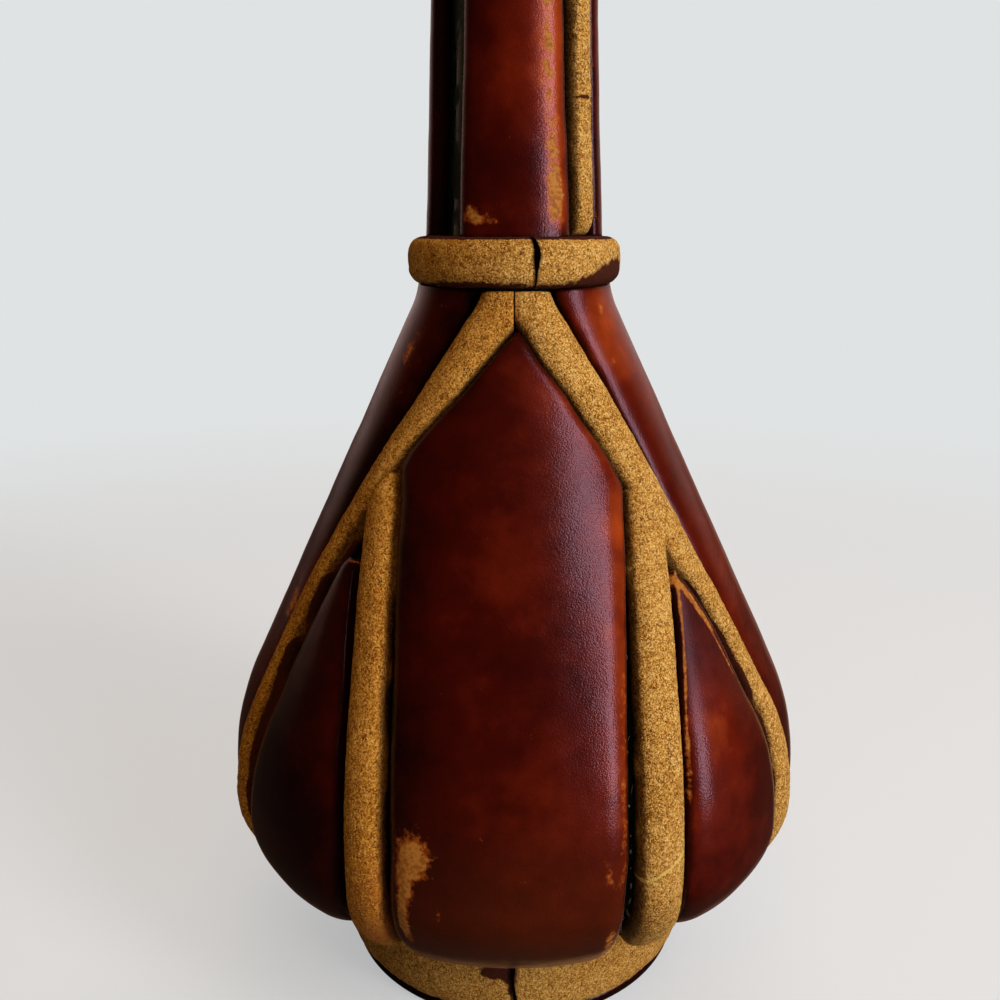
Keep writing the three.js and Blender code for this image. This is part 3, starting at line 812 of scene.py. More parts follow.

# %% [markdown]
# ## Cork
# The beads are cut from pressed cork: crumbs about a millimetre across, glued together, with paler and darker
# ones mixed in and the odd speck of bark. The edges are dark, partly dye run in from the leather and partly
# painted shade in the grooves. Cork on the side away from the window is painted darker and warmer, as shade.
# A noise texture alone looks like sand. Cells give each crumb its own shade, and the same cells raise it a
# little.

# %% The cork finish
def cork_finish(name):
    finish, bench = new_finish(name)
    place = object_place(bench)
    bent = bench.node(
        "ShaderNodeVectorMath", {"operation": "MULTIPLY_ADD"},
        {0: noise(bench, place, 0.0012, detail=2.0).out("Color"), 1: (0.0007,) * 3, 2: place},
    )
    crumbs = cells(bench, bent, 0.0011)
    crumb_shade = bench.node("ShaderNodeSeparateColor", None, {0: crumbs.out("Color")})
    fine = cells(bench, bent, 0.00030)
    fine_shade = bench.node("ShaderNodeSeparateColor", None, {0: fine.out("Color")})
    clouds = noise(bench, place, 0.014)
    dust = noise(bench, place, 0.00034, roughness=0.7)
    ragged = noise(bench, place, 0.0016, detail=5.0, roughness=0.65)

    crumb_mix = crumb_shade.out("Red") * 0.18 + fine_shade.out("Green") * 0.70
    shade = crumb_mix + (dust - 0.5) * 2.2 + (clouds - 0.5) * 0.4 + 0.07
    stops = [
        (0.0, (0.14, 0.045, 0.006)),
        (0.35, (0.40, 0.175, 0.026)),
        (0.65, (0.58, 0.300, 0.060)),
        (1.0, (0.80, 0.520, 0.180)),
    ]
    colour = bench.node("ShaderNodeValToRGB", {"stops": stops}, {0: shade})
    bark = soft_range(bench, fine_shade.out("Red") * 0.75 + crumb_shade.out("Blue") * 0.25, 0.88, 0.92)
    colour = blend_colours(bench, bark * 0.75, colour, rgb(0.080, 0.026, 0.005))
    pale = soft_range(bench, fine_shade.out("Blue") * 0.8 + crumb_shade.out("Green") * 0.2, 0.85, 0.90)
    colour = blend_colours(bench, pale * 0.6, colour, rgb(0.74, 0.49, 0.19))
    # Darker, warmer cork: painted shade on the side away from the window, and an even age tint on the foot
    # ring.
    colour = blend_colours(bench, stored(bench, "aged"), colour, rgb(0.80, 0.62, 0.28), way="MULTIPLY")

    # Dark marks: real stains and seams, and painted shade beside the diagonal beads, along the collar's lower
    # edge and in the crevice by the neck.
    stain_and_shade_mask = stored(bench, "stain") + (ragged - 0.5) * 0.9
    # Dark sides: partly dye run in from the leather, partly painted shade in the grooves beside the bead.
    dye_and_painted_shade_at_sides = 1 - soft_range(bench, stored(bench, "edge") + (ragged - 0.5) * 0.0012, 0.0, 0.0007)
    colour = blend_colours(bench, dye_and_painted_shade_at_sides * 0.7, colour, rgb(0.045, 0.012, 0.004))
    colour = blend_colours(bench, soft_range(bench, stain_and_shade_mask, 0.42, 0.62), colour, rgb(0.060, 0.012, 0.005))
    colour = blend_colours(bench, stored(bench, "tint") * 0.6, colour, rgb(0.42, 0.10, 0.018))
    scraped = soft_range(bench, stored(bench, "scrape") + (ragged - 0.5) * 1.4, 0.5, 0.65)
    colour = blend_colours(bench, scraped * 0.8, colour, rgb(0.72, 0.50, 0.13))

    relief = (1 - crumbs.out("Distance")) * 0.4 + (1 - fine.out("Distance")) * 0.5 + dust * 0.5 - bark * 0.4
    sockets = {
        "Base Color": colour,
        "Roughness": 0.86 + dust * 0.12,
        "Normal": bump(bench, relief, 0.00032, 0.9),
        "Specular IOR Level": 0.12,
    }
    surface(bench, sockets)
    return finish


cork = cork_finish("pressed_cork")
print("finish", cork.name, "with", len(cork.node_tree.nodes), "nodes")

# %% [markdown]
# ## Glass, turned wood, glue
# Between the pieces the bottle itself shows: glass so dark a green that it looks black. The stopper is built
# on a turned core. In the grooves sit crumbs of old glue, some blue-grey with a painted glint.

# %% The other finishes
def glass_finish(name):
    finish, bench = new_finish(name)
    place = object_place(bench)
    smear = noise(bench, place, 0.012)
    tint = blend_colours(bench, smear, rgb(0.002, 0.006, 0.004), rgb(0.004, 0.012, 0.008))
    grime = soft_range(bench, noise(bench, place, 0.006, detail=4.0), 0.42, 0.6)
    height = bench.node("ShaderNodeSeparateXYZ", None, {0: place}).out("Z")
    under_collar = soft_range(bench, height, 0.10, 0.13) * (1 - soft_range(bench, height, 0.162, 0.166))
    dull = grime * 0.5 + under_collar * 0.6
    surface(bench, {"Base Color": tint, "Roughness": 0.08 + dull, "Specular IOR Level": 0.30})
    return finish


def wood_finish(name):
    finish, bench = new_finish(name)
    place = object_place(bench)
    along_grain = {"Vector": place, "Scale": (1, 1, 0.12)}
    stretched = bench.node("ShaderNodeMapping", {"vector_type": "POINT"}, along_grain)
    figure = noise(bench, stretched, 0.0025, detail=5.0, roughness=0.6)
    fibre = noise(bench, stretched, 0.0006, detail=2.0)
    colour = blend_colours(bench, figure, rgb(0.10, 0.038, 0.012), rgb(0.29, 0.135, 0.047))
    sockets = {
        "Base Color": colour,
        "Roughness": 0.52 + fibre * 0.2,
        "Normal": bump(bench, fibre, 0.00012, 0.6),
    }
    surface(bench, sockets)
    return finish


def glue_finish(name):
    finish, bench = new_finish(name)
    place = object_place(bench)
    grime = noise(bench, place, 0.0008)
    tan_glue_over_painted_glint = soft_range(bench, grime, 0.35, 0.7)
    # Blue-grey is a painted glint of the window on the crumbs; the tan is dusty glue.
    colour = blend_colours(bench, tan_glue_over_painted_glint, rgb(0.16, 0.19, 0.24), rgb(0.26, 0.18, 0.10))
    surface(bench, {"Base Color": colour, "Roughness": 0.35 + grime * 0.3})
    return finish


dark_glass = glass_finish("dark_green_glass")
turned_wood = wood_finish("turned_wood")
old_glue_and_painted_glint = glue_finish("old_glue_and_painted_glint")
print("finishes", dark_glass.name, turned_wood.name, old_glue_and_painted_glint.name)

# %% [markdown]
# ## From pattern to finished piece
# Each piece is laid by the tree, takes the place of its plain CAD solid, moves with that solid's body and
# names the material slot that its finish belongs to.

# %% Laying pieces in place of their CAD parts
LEATHER_FEEL = {"Lump Size": 0.013, "Lump Height": 0.0005, "Grain Size": 0.0030, "Grain Height": 0.00003}
CORK_FEEL = {"Lump Size": 0.007, "Lump Height": 0.0007, "Grain Size": 0.0011, "Grain Height": 0.00042}
PLAIN_FEEL = {"Lump Size": 0.02, "Lump Height": 0.0, "Grain Size": 0.01, "Grain Height": 0.0}
SLOTS = {leather.name: "leather", cork.name: "cork", dark_glass.name: "glass", turned_wood.name: "wood"}


def lay(node, mesh, guide, finish, feel, seed, body="bottle"):
    """Lays a pattern on its guide, and lets it stand for its CAD node."""
    values = {"Meridian": guide, "Seed": float(seed), "Finish": finish, **feel}
    piece = run_tree(f"{node}_{SLOTS[finish.name]}", mesh, lay_on_turned_form, values)
    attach(piece, body)
    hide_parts(node)
    return piece


def tally(label, pieces):
    faces = sum(len(piece.data.polygons) for piece in pieces)
    print(label, len(pieces), "pieces,", faces, "faces")


print("pieces are laid with", lay_on_turned_form.name)

# %% [markdown]
# ## Leather straps and gussets
# Thick leather, moulded wet over the glass: a flat face that rolls down at the edges into the grooves, with
# softly rounded corners. The height of each point comes from its distance to the nearest edge. Creases where
# two edges meet are rounded by taking a soft least of the distances.

# %% Pads of leather
PAD_EDGE = 2.2
PAD_ROLL = 5.0
PAD_CROWDING = 0.45
CREASES_PER_ROLL = 6
CUT_HEIGHT = 0.6
CUT_ROLL = 0.5
BOW_REACH = 25
FULL_TUCK = 0.999
LEATHER_STEP = 0.7
CUT_WAVER = (0.25, 9.0)
FAR_EDGE_SEED = 50
EDGE_RUB = 0.10
EDGE_RUB_WIDTH = 3.0
ALL_ROUND = ("left", "right", "bottom", "top")


def waver(s, depth, size, seed):
    """Angle by which a hand-cut edge strays from its line."""
    return depth * wobble(s, size, seed) / skin(s)[0]


def tucked(low, high, start, end, corners, seed):
    """Sides that waver a little and turn in at the ends, so that corners are round."""
    def tuck(s):
        total = 0.0
        for corner, near in zip(corners, (s - start, end - s)):
            t = np.clip(1 - near / corner, 0, FULL_TUCK)
            total = total + corner * (1 - np.sqrt(1 - t**2))
        return total / skin(s)[0]

    def room(s):
        return np.maximum(high(s) - low(s) - tip_angle(s), 0) / 2

    def low_side(s):
        return low(s) + np.minimum(tuck(s), room(s)) + waver(s, *CUT_WAVER, seed)

    def high_side(s):
        return high(s) - np.minimum(tuck(s), room(s)) - waver(s, *CUT_WAVER, seed + FAR_EDGE_SEED)

    return low_side, high_side


def leather_pad(
    node, low, high, start, end, width, turn, seed, marks_and_painted_light, crown=PAD, edge=PAD_EDGE, roll=PAD_ROLL,
    corners=(4.0, 1.0), rolled=ALL_ROUND, bow=0.0, swell=0.0, step=LEATHER_STEP, crisp=None,
):
    """A pad between two lines. Between the two heights of crisp, its edges change to plain cuts."""
    low, high = tucked(low, high, start, end, corners, seed)
    s, home, own = piece_grid(start, end, low, high, width, step, turn, PAD_CROWDING)
    place = where_on_glass(s, home, own, low, high, start, end, turn[0])
    inward = soft_least([place[side] for side in rolled], roll / CREASES_PER_ROLL)
    middle = np.clip(inward / (width / 2), 0, 1)
    cut = smooth_step(place["height"], *crisp) if crisp else 0.0
    foot = edge + (crown - edge) * CUT_HEIGHT * cut
    rolled_over = round_over(inward / (roll * (1 - CUT_ROLL * cut)))
    rise = foot + (crown - foot) * rolled_over + swell * np.sin(middle * QUARTER)
    aside = (place["left"] - place["right"]) / (place["left"] + place["right"])
    s = s + bow * (1 - aside**2) * np.clip(1 - place["bottom"] / BOW_REACH, 0, 1) ** 2
    mesh = closed_pattern(node, laid_fields(s, own, rise, place, marks_and_painted_light(place)))
    return lay(node, mesh, glass_guide, leather, LEATHER_FEEL, seed)


def unworn(place):
    """Next to no wear, and only at the long edges."""
    nearest = np.minimum(place["left"], place["right"])
    return {"wear": EDGE_RUB * np.exp(-((nearest / EDGE_RUB_WIDTH) ** 2))}


print("pads roll down over", PAD_ROLL, "mm")

# %% [markdown]
# ## The front and back straps
# They rise to a gable where the side straps' beads close in. The front one carries the marks of use that the
# photograph shows: a bare patch low on the left, chips along the right edge, and a paler cloud in the middle.
# Its right edge is painted lighter and its left edge darker, partly dye and partly painted light and shade.

# %% Front and back straps
GROOVE_SPREAD = {
    "front_left": [(30, -0.9), (75, -1.2), (118, -2.2)],
    "front_right": [(30, 1.7), (75, 0.6), (118, -1.0)],
}
ROOF_REACH = 0.75
ROOF_CREASE = 0.3
FOOT_CLEARANCE = 0.2


def gable_edge(s, quarter):
    """Angle from the strap's middle to its edge in a quarter. The groove beside it widens downwards."""
    radius = skin(s)[0]
    side = front_strap.edge(s) - millimetres(GROOVE_SPREAD.get(quarter), s)
    roof = from_side(side_strap.gusset_edge(s)) + millimetres(TRIM.get(quarter), s)
    return soft_least([side * radius, roof * radius + ROOF_REACH], ROOF_CREASE) / radius


def front_wear_and_painted_light(place):
    wear = marks(
        place,
        (spot, -16.9, 55.0, 6.4, 7.5, 1.0), (spot, -18.2, 49.5, 3.2, 7.0, 0.85),
        (spot, -18.8, 42.5, 2.4, 9.0, 0.8), (spot, -12.2, 45.5, 1.6, 1.6, 0.5),
        (streak, "right", 30.0, 42.0, 2.6, 1.2, 0.58), (streak, "right", 48.0, 84.0, 1.4, 1.0, 0.36),
        (spot, 15.6, 52.0, 2.0, 4.0, 0.45),
    )
    # The lighter streaks along the right edge are partly dye and partly painted light on the window side. The
    # dark streak along the left edge is partly dye and partly painted shade.
    glow = marks(
        place,
        (spot, -4.0, 118.0, 26.0, 36.0, 0.10), (spot, 4.0, 100.0, 34.0, 30.0, 0.12),
        (spot, 5.0, 54.0, 34.0, 26.0, 0.25), (streak, "right", 64.0, 106.0, 2.0, 6.0, 0.85, 30.0),
        (streak, "right", 106.0, 138.0, 2.0, 6.0, 0.55),
        (streak, "left", 40.0, 136.0, 0.0, 9.0, -0.3), (spot, -3.0, 150.0, 8.0, 10.0, 0.35),
    )
    return {"wear": wear, "glow": glow, "brown": marks(place, (spot, 0.0, 34.0, 70.0, 40.0, 0.6))}


def gable_strap(face, right, left, seed, marks_and_painted_light):
    """A strap whose own right and left edges lie in two quarters."""
    def left_edge(s):
        return -gable_edge(s, left)

    def right_edge(s):
        return gable_edge(s, right)

    tip = crossing(lambda s: right_edge(s) - left_edge(s) - tip_angle(s), cone_s, body_high)
    turn = (1, QUARTERS[right][1])
    return leather_pad(
        f"{face}_panel", left_edge, right_edge, body_low + FOOT_CLEARANCE, tip, front_strap.width, turn, seed,
        marks_and_painted_light, corners=(4.5, 1.0), bow=4.6, crisp=(112, 124),
    )


straps = [
    gable_strap("front", "front_right", "front_left", 11, front_wear_and_painted_light),
    gable_strap("back", "back_left", "back_right", 12, unworn),
]
tally("gable straps", straps)

# %% [markdown]
# ## The side straps
# These run whole from the foot ring to the collar. They are as wide at the collar as at the belly, so up
# there they wrap almost half way round.

# %% Side straps
UNDER_COLLAR = 0.5


def right_side_wear_and_painted_light(place):
    wear = marks(place, (spot, 56.0, 148.5, 2.0, 4.0, 0.62), (spot, 52.0, 138.0, 1.5, 3.0, 0.4))
    # The large glow spot towards the limb is painted light. The one by the collar is partly redder dye,
    # partly painted light.
    glow = marks(place, (spot, 56.0, 148.0, 14.0, 22.0, 0.75), (spot, 70.0, 95.0, 30.0, 90.0, 0.45))
    return {"wear": wear, "glow": glow}


def left_side_wear_and_painted_shade(place):
    wear = marks(place, (spot, -72.7, 86.0, 3.2, 7.0, 0.64), (spot, -58.0, 140.0, 3.0, 8.0, 0.5))
    # The dark streak along the front edge, beside the bead, is painted shade.
    glow = marks(place, (spot, -70.0, 80.0, 30.0, 40.0, 0.1), (streak, "right", 100.0, 160.0, 0.0, 5.0, -0.5))
    return {"wear": wear, "glow": glow}


def side_panel(side, seed, marks_and_painted_light):
    """The front edge of a side strap keeps its distance from the bead beside it."""
    quarter = f"front_{side}"

    def front_edge(s):
        return from_side(side_strap.edge(s)) + millimetres(SWAY[quarter], s)

    def back_edge(s):
        return QUARTER + side_strap.edge(s)

    return leather_pad(
        f"{side}_side_panel", front_edge, back_edge, body_low, body_high + UNDER_COLLAR, side_strap.width,
        QUARTERS[quarter], seed, marks_and_painted_light, edge=1.4, roll=12.0, rolled=("left", "right", "bottom"),
    )


side_straps = [side_panel("right", 13, right_side_wear_and_painted_light), side_panel("left", 14, left_side_wear_and_painted_shade)]
tally("side straps", side_straps)

# %% [markdown]
# ## The gussets
# Between the straps are leaf-shaped pads, the plumpest pieces of the jacket. Their edges are rubbed bare near
# the upper point.

# %% Gussets
LEAF_WIDTH = 30.0


def right_gusset_wear_and_painted_light(place):
    # The pale spot low on the left at 32 degrees is a painted highlight. The glow spots are partly lighter
    # dye, partly painted light on the side that faces the window.
    wear = marks(
        place,
        (streak, "right", 86.0, 106.0, 2.2, 0.8, 0.9), (streak, "right", 76.0, 86.0, 2.6, 0.4, 0.62),
        (streak, "left", 66.0, 106.0, 0.5, 0.3, 0.72), (streak, "left", 56.0, 66.0, 0.5, 0.2, 0.62),
        (spot, 44.5, 98.0, 2.0, 2.0, 0.3), (spot, 32.0, 62.2, 2.0, 2.0, 0.5),
    )
    glow = marks(
        place,
        (spot, 46.0, 84.0, 14.0, 18.0, 0.2), (spot, 42.0, 69.0, 14.0, 18.0, 0.7),
        (spot, 36.0, 58.0, 20.0, 16.0, 0.3),
    )
    return {"wear": wear, "glow": glow, "matt": smooth_step(place["height"], 68.0, 84.0)}


def left_gusset_wear_and_painted_shade(place):
    wear = marks(place, (streak, "top", 92.0, 112.0, 0.6, 0.3, 0.6))
    # Painted shade: the whole leaf is darkened, on the side away from the window.
    return {"wear": wear, "glow": np.full_like(wear, -0.4)}


def gusset(quarter, seed, marks_and_painted_light, blunt=1.0, close=0.0):
    """A leaf with a blunt tip. Close is how far it reaches into the groove beside the upright bead."""
    def near(s):
        return front_strap.gusset_edge(s) - gap_angle(s, close)

    def side(s):
        return from_side(side_strap.gusset_edge(s)) + millimetres(LEAF_TRIM.get(quarter), s)

    def room(s):
        return side(s) - near(s) - gap_angle(s, blunt)

    low = body_low if room(body_low) > 0 else crossing(room, body_low, belly_s)
    high = crossing(room, cone_s, body_high)
    return leather_pad(
        f"{quarter}_gusset", near, side, low, high, LEAF_WIDTH, QUARTERS[quarter], seed, marks_and_painted_light,
        edge=2.9, swell=0.9, corners=(1.0, 2.0), crisp=(70, 92),
    )


gussets = [
    gusset("front_right", 21, right_gusset_wear_and_painted_light, close=1.0),
    gusset("front_left", 22, left_gusset_wear_and_painted_shade, blunt=2.6),
    gusset("back_right", 23, unworn),
    gusset("back_left", 24, unworn),
]
tally("gussets", gussets)

# %% [markdown]
# ## Cork beads
# A bead is a strip with a low rounded back and dark sides, partly dyed and partly painted shade, glued down
# between two pieces of leather. Its edges are nibbled and its back is a little lumpy. Where two beads meet,
# one is cut off against the other.
# The joint is sanded over, so the longer bead is as high there as the one that runs into it. Only at the
# front left is it a plain cut.

# %% Beads on the body
CORK_STEP = 0.5
CORK_CROWDING = 0.8
NIBBLES = (0.22, 4.0)
FOOT_END = 4.5
FOOT_BLUNT = 0.08
TOP_END = 0.8
TOP_BLUNT = 0.3
BEAD_SQUARENESS = 2.3
BEAD_SHOULDER = 0.40
SANDED = 2.5
SANDED_HALF = (-0.7, 0.0)
OPEN_MITRE = 0.4
OVERLAP = 0.3


def across(s, angle, near, far):
    """How far an angle is from the middle of two lines, from -1 at the first to 1 at the second."""
    return (2 * angle - near(s) - far(s)) / (far(s) - near(s))


def bead_back(s, angle, near, far):
    """Height of a bead's back over its shoulders, from 0 to 1."""
    aside = np.abs(across(s, angle, near, far))
    return np.clip(1 - aside**BEAD_SQUARENESS, 0, 1) ** (1 / BEAD_SQUARENESS)


def cork_bead(node, lines, stops, start, end, width, crown, turn, seed, marks_and_painted_light, joined=None):
    """A bead between two lines and two stops. Joined: lines and end of the bead that runs into it."""
    near, far = lines

    def low_side(s):
        return np.maximum(near(s) + waver(s, *NIBBLES, seed), stops[0](s))

    def high_side(s):
        return np.minimum(far(s) - waver(s, *NIBBLES, seed + FAR_EDGE_SEED), stops[1](s))

    s, home, own = piece_grid(start, end, low_side, high_side, width, CORK_STEP, turn, CORK_CROWDING)
    place = where_on_glass(s, home, own, low_side, high_side, start, end, turn[0])
    back = bead_back(s, home, near, far)
    sides = np.minimum(home - near(s), far(s) - home) * place["radius"]
    if joined:
        first, last, tip = joined
        joint = (1 - smooth_step(s, tip - SANDED, tip)) * (s > belly_s)
        near_half = 1 - smooth_step(across(s, home, near, far), *SANDED_HALF)
        back = np.maximum(back, bead_back(s, home, first, last) * near_half * joint)
        sides = np.maximum(sides, np.minimum(home - first(s), last(s) - home) * place["radius"] * joint)
    foot = round_over(place["bottom"] / FOOT_END + FOOT_BLUNT)
    ends = foot * round_over(place["top"] / TOP_END + TOP_BLUNT)
    rise = crown * (BEAD_SHOULDER + (1 - BEAD_SHOULDER) * back) * ends
    fields = laid_fields(s, own, rise, place, marks_and_painted_light(place))
    fields["edge"] = np.minimum.reduce([sides, place["bottom"], place["top"]]) * MM
    return lay(node, closed_pattern(node, fields), glass_guide, cork, CORK_FEEL, seed)


def unmarked(place):
    """No marks. The materials read a number that isn't stored as 0."""
    return {}


def foot_mitre(s):
    """The line half way between neighbouring beads, where they meet near the foot."""
    return (front_strap.bead_far(s) + from_side(side_strap.bead_far(s))) / 2


def bead_pair(quarter, turn, seed):
    """The upright and the diagonal bead of a quarter."""
    def upright_near(s):
        return front_strap.bead_near(s) + millimetres(UPRIGHT_TRIM.get(quarter), s)

    sanded = quarter != "front_left"

    def upright_stop(s):
        mitre = np.where(s > belly_s, diagonal_near(s, quarter), foot_mitre(s))
        return mitre + gap_angle(s, np.where(s > belly_s, OVERLAP if sanded else -OPEN_MITRE, -MITRE))

    def diagonal_stop(s):
        return np.where(s > belly_s, gap_angle(s, SEAM / 2), foot_mitre(s))

    def room(s):
        return np.minimum(front_strap.bead_far(s), upright_stop(s)) - upright_near(s) - tip_angle(s)

    def no_stop(value):
        return lambda s: np.full_like(s, value)

    upright = (upright_near, front_strap.bead_far)
    diagonal = (lambda s: diagonal_near(s, quarter), lambda s: diagonal_far(s, quarter))
    tip = crossing(room, cone_s, body_high)

    return [
        cork_bead(
            f"{quarter}_upright_bead", upright, (no_stop(-math.pi), upright_stop), body_low, tip,
            BEAD, BEAD_CROWN, turn, seed, upright_marks.get(quarter, unmarked),
        ),
        cork_bead(
            f"{quarter}_diagonal_bead", diagonal, (diagonal_stop, no_stop(math.pi)), body_low, body_high,
            BEAD, BEAD_CROWN, turn, seed, diagonal_marks.get(quarter, unmarked),
            (*upright, tip) if sanded else None,
        ),
    ]


def left_upright_stain_and_shade(place):
    tint = marks(place, (spot, -25.8, 36.0, 10.0, 12.0, 0.9), (spot, -24.0, 48.0, 5.0, 12.0, 0.4))
    # Painted shade: the bead is darker and warmer all along, most below 40 mm, on the side away from the
    # window.
    aged = 1 - 0.2 * smooth_step(place["height"], 40.0, 70.0)
    return {"stain": marks(place, (spot, -24.5, 31.0, 9.0, 5.0, 0.5)), "tint": tint, "aged": aged}


def left_diagonal_dye_and_shade(place):
    """Painted shade: darker, warmer towards the foot. The inner side is dark, partly dye, partly painted
    shade.
    """
    stain = marks(
        place,
        (streak, "right", 82.0, 104.0, 0.0, 0.20, 0.9), (streak, "right", 40.0, 82.0, 0.0, 0.45, 0.9),
    )
    aged = 1 - 0.35 * smooth_step(place["height"], 90.0, 130.0)
    return {"stain": stain, "aged": aged}


def right_diagonal_dye_and_shade(place):
    # The dark inner side beside the leaf is partly dye, partly painted shade in the groove.
    stain = marks(
        place,
        (streak, "left", 86.0, 97.0, 0.0, 0.16, 0.9), (streak, "left", 48.0, 86.0, 0.0, 0.45, 0.9),
    )
    return {"stain": stain}


def right_upright_scrape(place):
    """A pale scratch that climbs to the right across the bead."""
    middle_angle, middle_height, climb, width = math.radians(25.5), 50.8, 0.5, 0.45
    aside = (place["azimuth"] - middle_angle) * place["radius"]
    above = place["height"] - middle_height - climb * aside
    return {"scrape": np.exp(-((above / width) ** 2))}


upright_marks = {"front_left": left_upright_stain_and_shade, "front_right": right_upright_scrape}
diagonal_marks = {"front_left": left_diagonal_dye_and_shade, "front_right": right_diagonal_dye_and_shade}
beads = []
for seed, (quarter, turn) in enumerate(QUARTERS.items(), 31):
    beads += bead_pair(quarter, turn, seed)
tally("beads on the body", beads)

# %% [markdown]
# ## The neck
# Four leather strips with narrow beads between them. At the front left the bead has come off, and the empty
# channel shows dark glass.

# %% Neck strips and beads
NECK_BEAD_ANGLE = math.radians(55)
NECK_BEAD = 6.0
NECK_BEAD_CROWN = 3.7
NECK_GROOVE = 2.0
NECK_STRIP = 18.0
NECK_STEP = 0.5
INTO_COLLAR = 0.6


def beside_neck_bead(s, distance):
    return NECK_BEAD_ANGLE + distance / face_radius(s, GLUE + NECK_PAD)


def neck_gable(s):
    return beside_neck_bead(s, -NECK_BEAD / 2 - NECK_GROOVE)


def neck_flank(s):
    return beside_neck_bead(s, NECK_BEAD / 2 + NECK_GROOVE)


def neck_front_wear(place):
    wear = marks(
        place,
        (streak, "right", 166.0, 240.0, 3.6, 1.4, 0.58), (spot, 26.0, 173.0, 3.0, 9.0, 0.4),
        (spot, -28.0, 168.8, 3.0, 3.2, 0.7), (spot, -23.0, 167.4, 2.4, 2.0, 0.5),
        (spot, -16.0, 168.0, 2.0, 2.0, 0.42), (spot, -12.0, 167.0, 2.0, 1.6, 0.4),
    )
    glow = marks(
        place,
        (spot, 2.0, 212.0, 14.0, 40.0, 0.5), (spot, 4.0, 192.0, 10.0, 16.0, 0.4),
        (streak, "right", 166.0, 240.0, 3.0, 2.4, 1.0),
    )
    return {"wear": wear, "glow": glow}


# Painted shade: the strip on the side away from the window is darkened all over.
def neck_painted_shade(place):
    return {"glow": np.full_like(place["azimuth"], -0.5)}


neck_strips = []
for node, low, high, quarter, seed, marks_and_painted_light in [
    ("neck_front_panel", lambda s: -neck_gable(s), neck_gable, "front_right", 51, neck_front_wear),
    ("neck_back_panel", lambda s: -neck_gable(s), neck_gable, "back_left", 52, unworn),
    ("neck_right_panel", neck_flank, lambda s: math.pi - neck_flank(s), "front_right", 53, unworn),
    ("neck_left_panel", neck_flank, lambda s: math.pi - neck_flank(s), "front_left", 54, neck_painted_shade),
]:
    neck_strips.append(leather_pad(
        node, low, high, neck_low - INTO_COLLAR, neck_high, NECK_STRIP, QUARTERS[quarter], seed, marks_and_painted_light,
        crown=NECK_PAD, edge=1.4, roll=3.0, corners=(0.6, 0.6), rolled=("left", "right"), step=NECK_STEP,
    ))


def neck_bead_crack(place):
    return {"stain": marks(place, (spot, 52.0, 190.5, 5.0, 0.9, 0.9))}


def neck_bead(quarter, seed, marks_and_painted_light):
    lines = (lambda s: beside_neck_bead(s, -NECK_BEAD / 2), lambda s: beside_neck_bead(s, NECK_BEAD / 2))
    return cork_bead(
        f"neck_{quarter}_bead", lines, lines, neck_low, neck_high, NECK_BEAD, NECK_BEAD_CROWN,
        QUARTERS[quarter], seed, marks_and_painted_light,
    )


neck_beads = [
    neck_bead("front_right", 55, neck_bead_crack),
    neck_bead("back_right", 56, unmarked),
    neck_bead("back_left", 57, unmarked),
]
tally("neck", neck_strips + neck_beads)

# %% [markdown]
# ## Turned and bent rings
# The collar, the foot ring and the ring under the lip are cork strips bent round the glass, and their ends
# meet in a seam. The same tree lays them: the guide is the ring's own section, and the pattern runs round it.
# Solids of revolution such as the bottle and the stopper use it too, with a pattern that closes on itself.

# %% Ring and lathe patterns
SEAM_RAGS = (0.2, 2.5, 5)
LUMPS_FROM = (0.02, 0.2)
RIM_CLEAR = 0.6
INSIDE_POINTS = 7
ROUND_POINTS = 6
ROUND_SHARE = 2.5
SAME_PLACE = 1e-6


def wrap_grid(rows, columns, wrap_rows, wrap_columns):
    """Point numbers of a grid that may close on itself either way."""
    at = np.arange(rows * columns).reshape(rows, columns)
    if wrap_rows:
        at = np.vstack([at, at[:1]])
    if wrap_columns:
        at = np.column_stack([at, at[:, 0]])
    return at


def ring_pattern(name, section, seam, slant, gape, steps, marks_and_painted_light):
    """A closed strip: rows round the axis, columns round its section, capped at both ends."""
    length = run_lengths(np.vstack([section, section[:1]]))[:-1]
    radius, height = section.T
    up = (height - height.min()) / np.ptp(height)
    shares = np.linspace(0, 1, steps)[:, None]
    rag_depth, rag_size, rag_seed = SEAM_RAGS
    lean = slant * (up - 0.5) + rag_depth * wobble(height, rag_size, rag_seed)
    opening = np.interp(up, *zip(*gape))
    azimuth = seam + (lean + opening * (1 - shares)) / radius.max() + 2 * math.pi * shares
    grid_height = np.broadcast_to(height, azimuth.shape)
    outer = np.broadcast_to((radius - radius.min()) / np.ptp(radius), azimuth.shape)
    end = np.minimum(shares, 1 - shares) * 2 * math.pi * radius.max()
    rim = np.minimum(grid_height - height.min(), height.max() - grid_height)
    place = {
        "azimuth": wrapped(azimuth), "height": grid_height, "radius": np.broadcast_to(radius, azimuth.shape),
    }
    fields = {
        "along": np.broadcast_to(length, azimuth.shape) * MM, "azimuth": azimuth,
        "rise": np.zeros_like(azimuth), "face": smooth_step(outer, *LUMPS_FROM),
        "edge": np.minimum(rim + RIM_CLEAR, end) * MM, **marks_and_painted_light(place),
    }
    at = wrap_grid(*azimuth.shape, False, True)
    faces = grid_faces(at.T)
    faces += [at[0, :-1].tolist()[::-1], at[-1, :-1].tolist()]
    return mesh_from(name, faces, {key: np.ravel(values) for key, values in fields.items()})


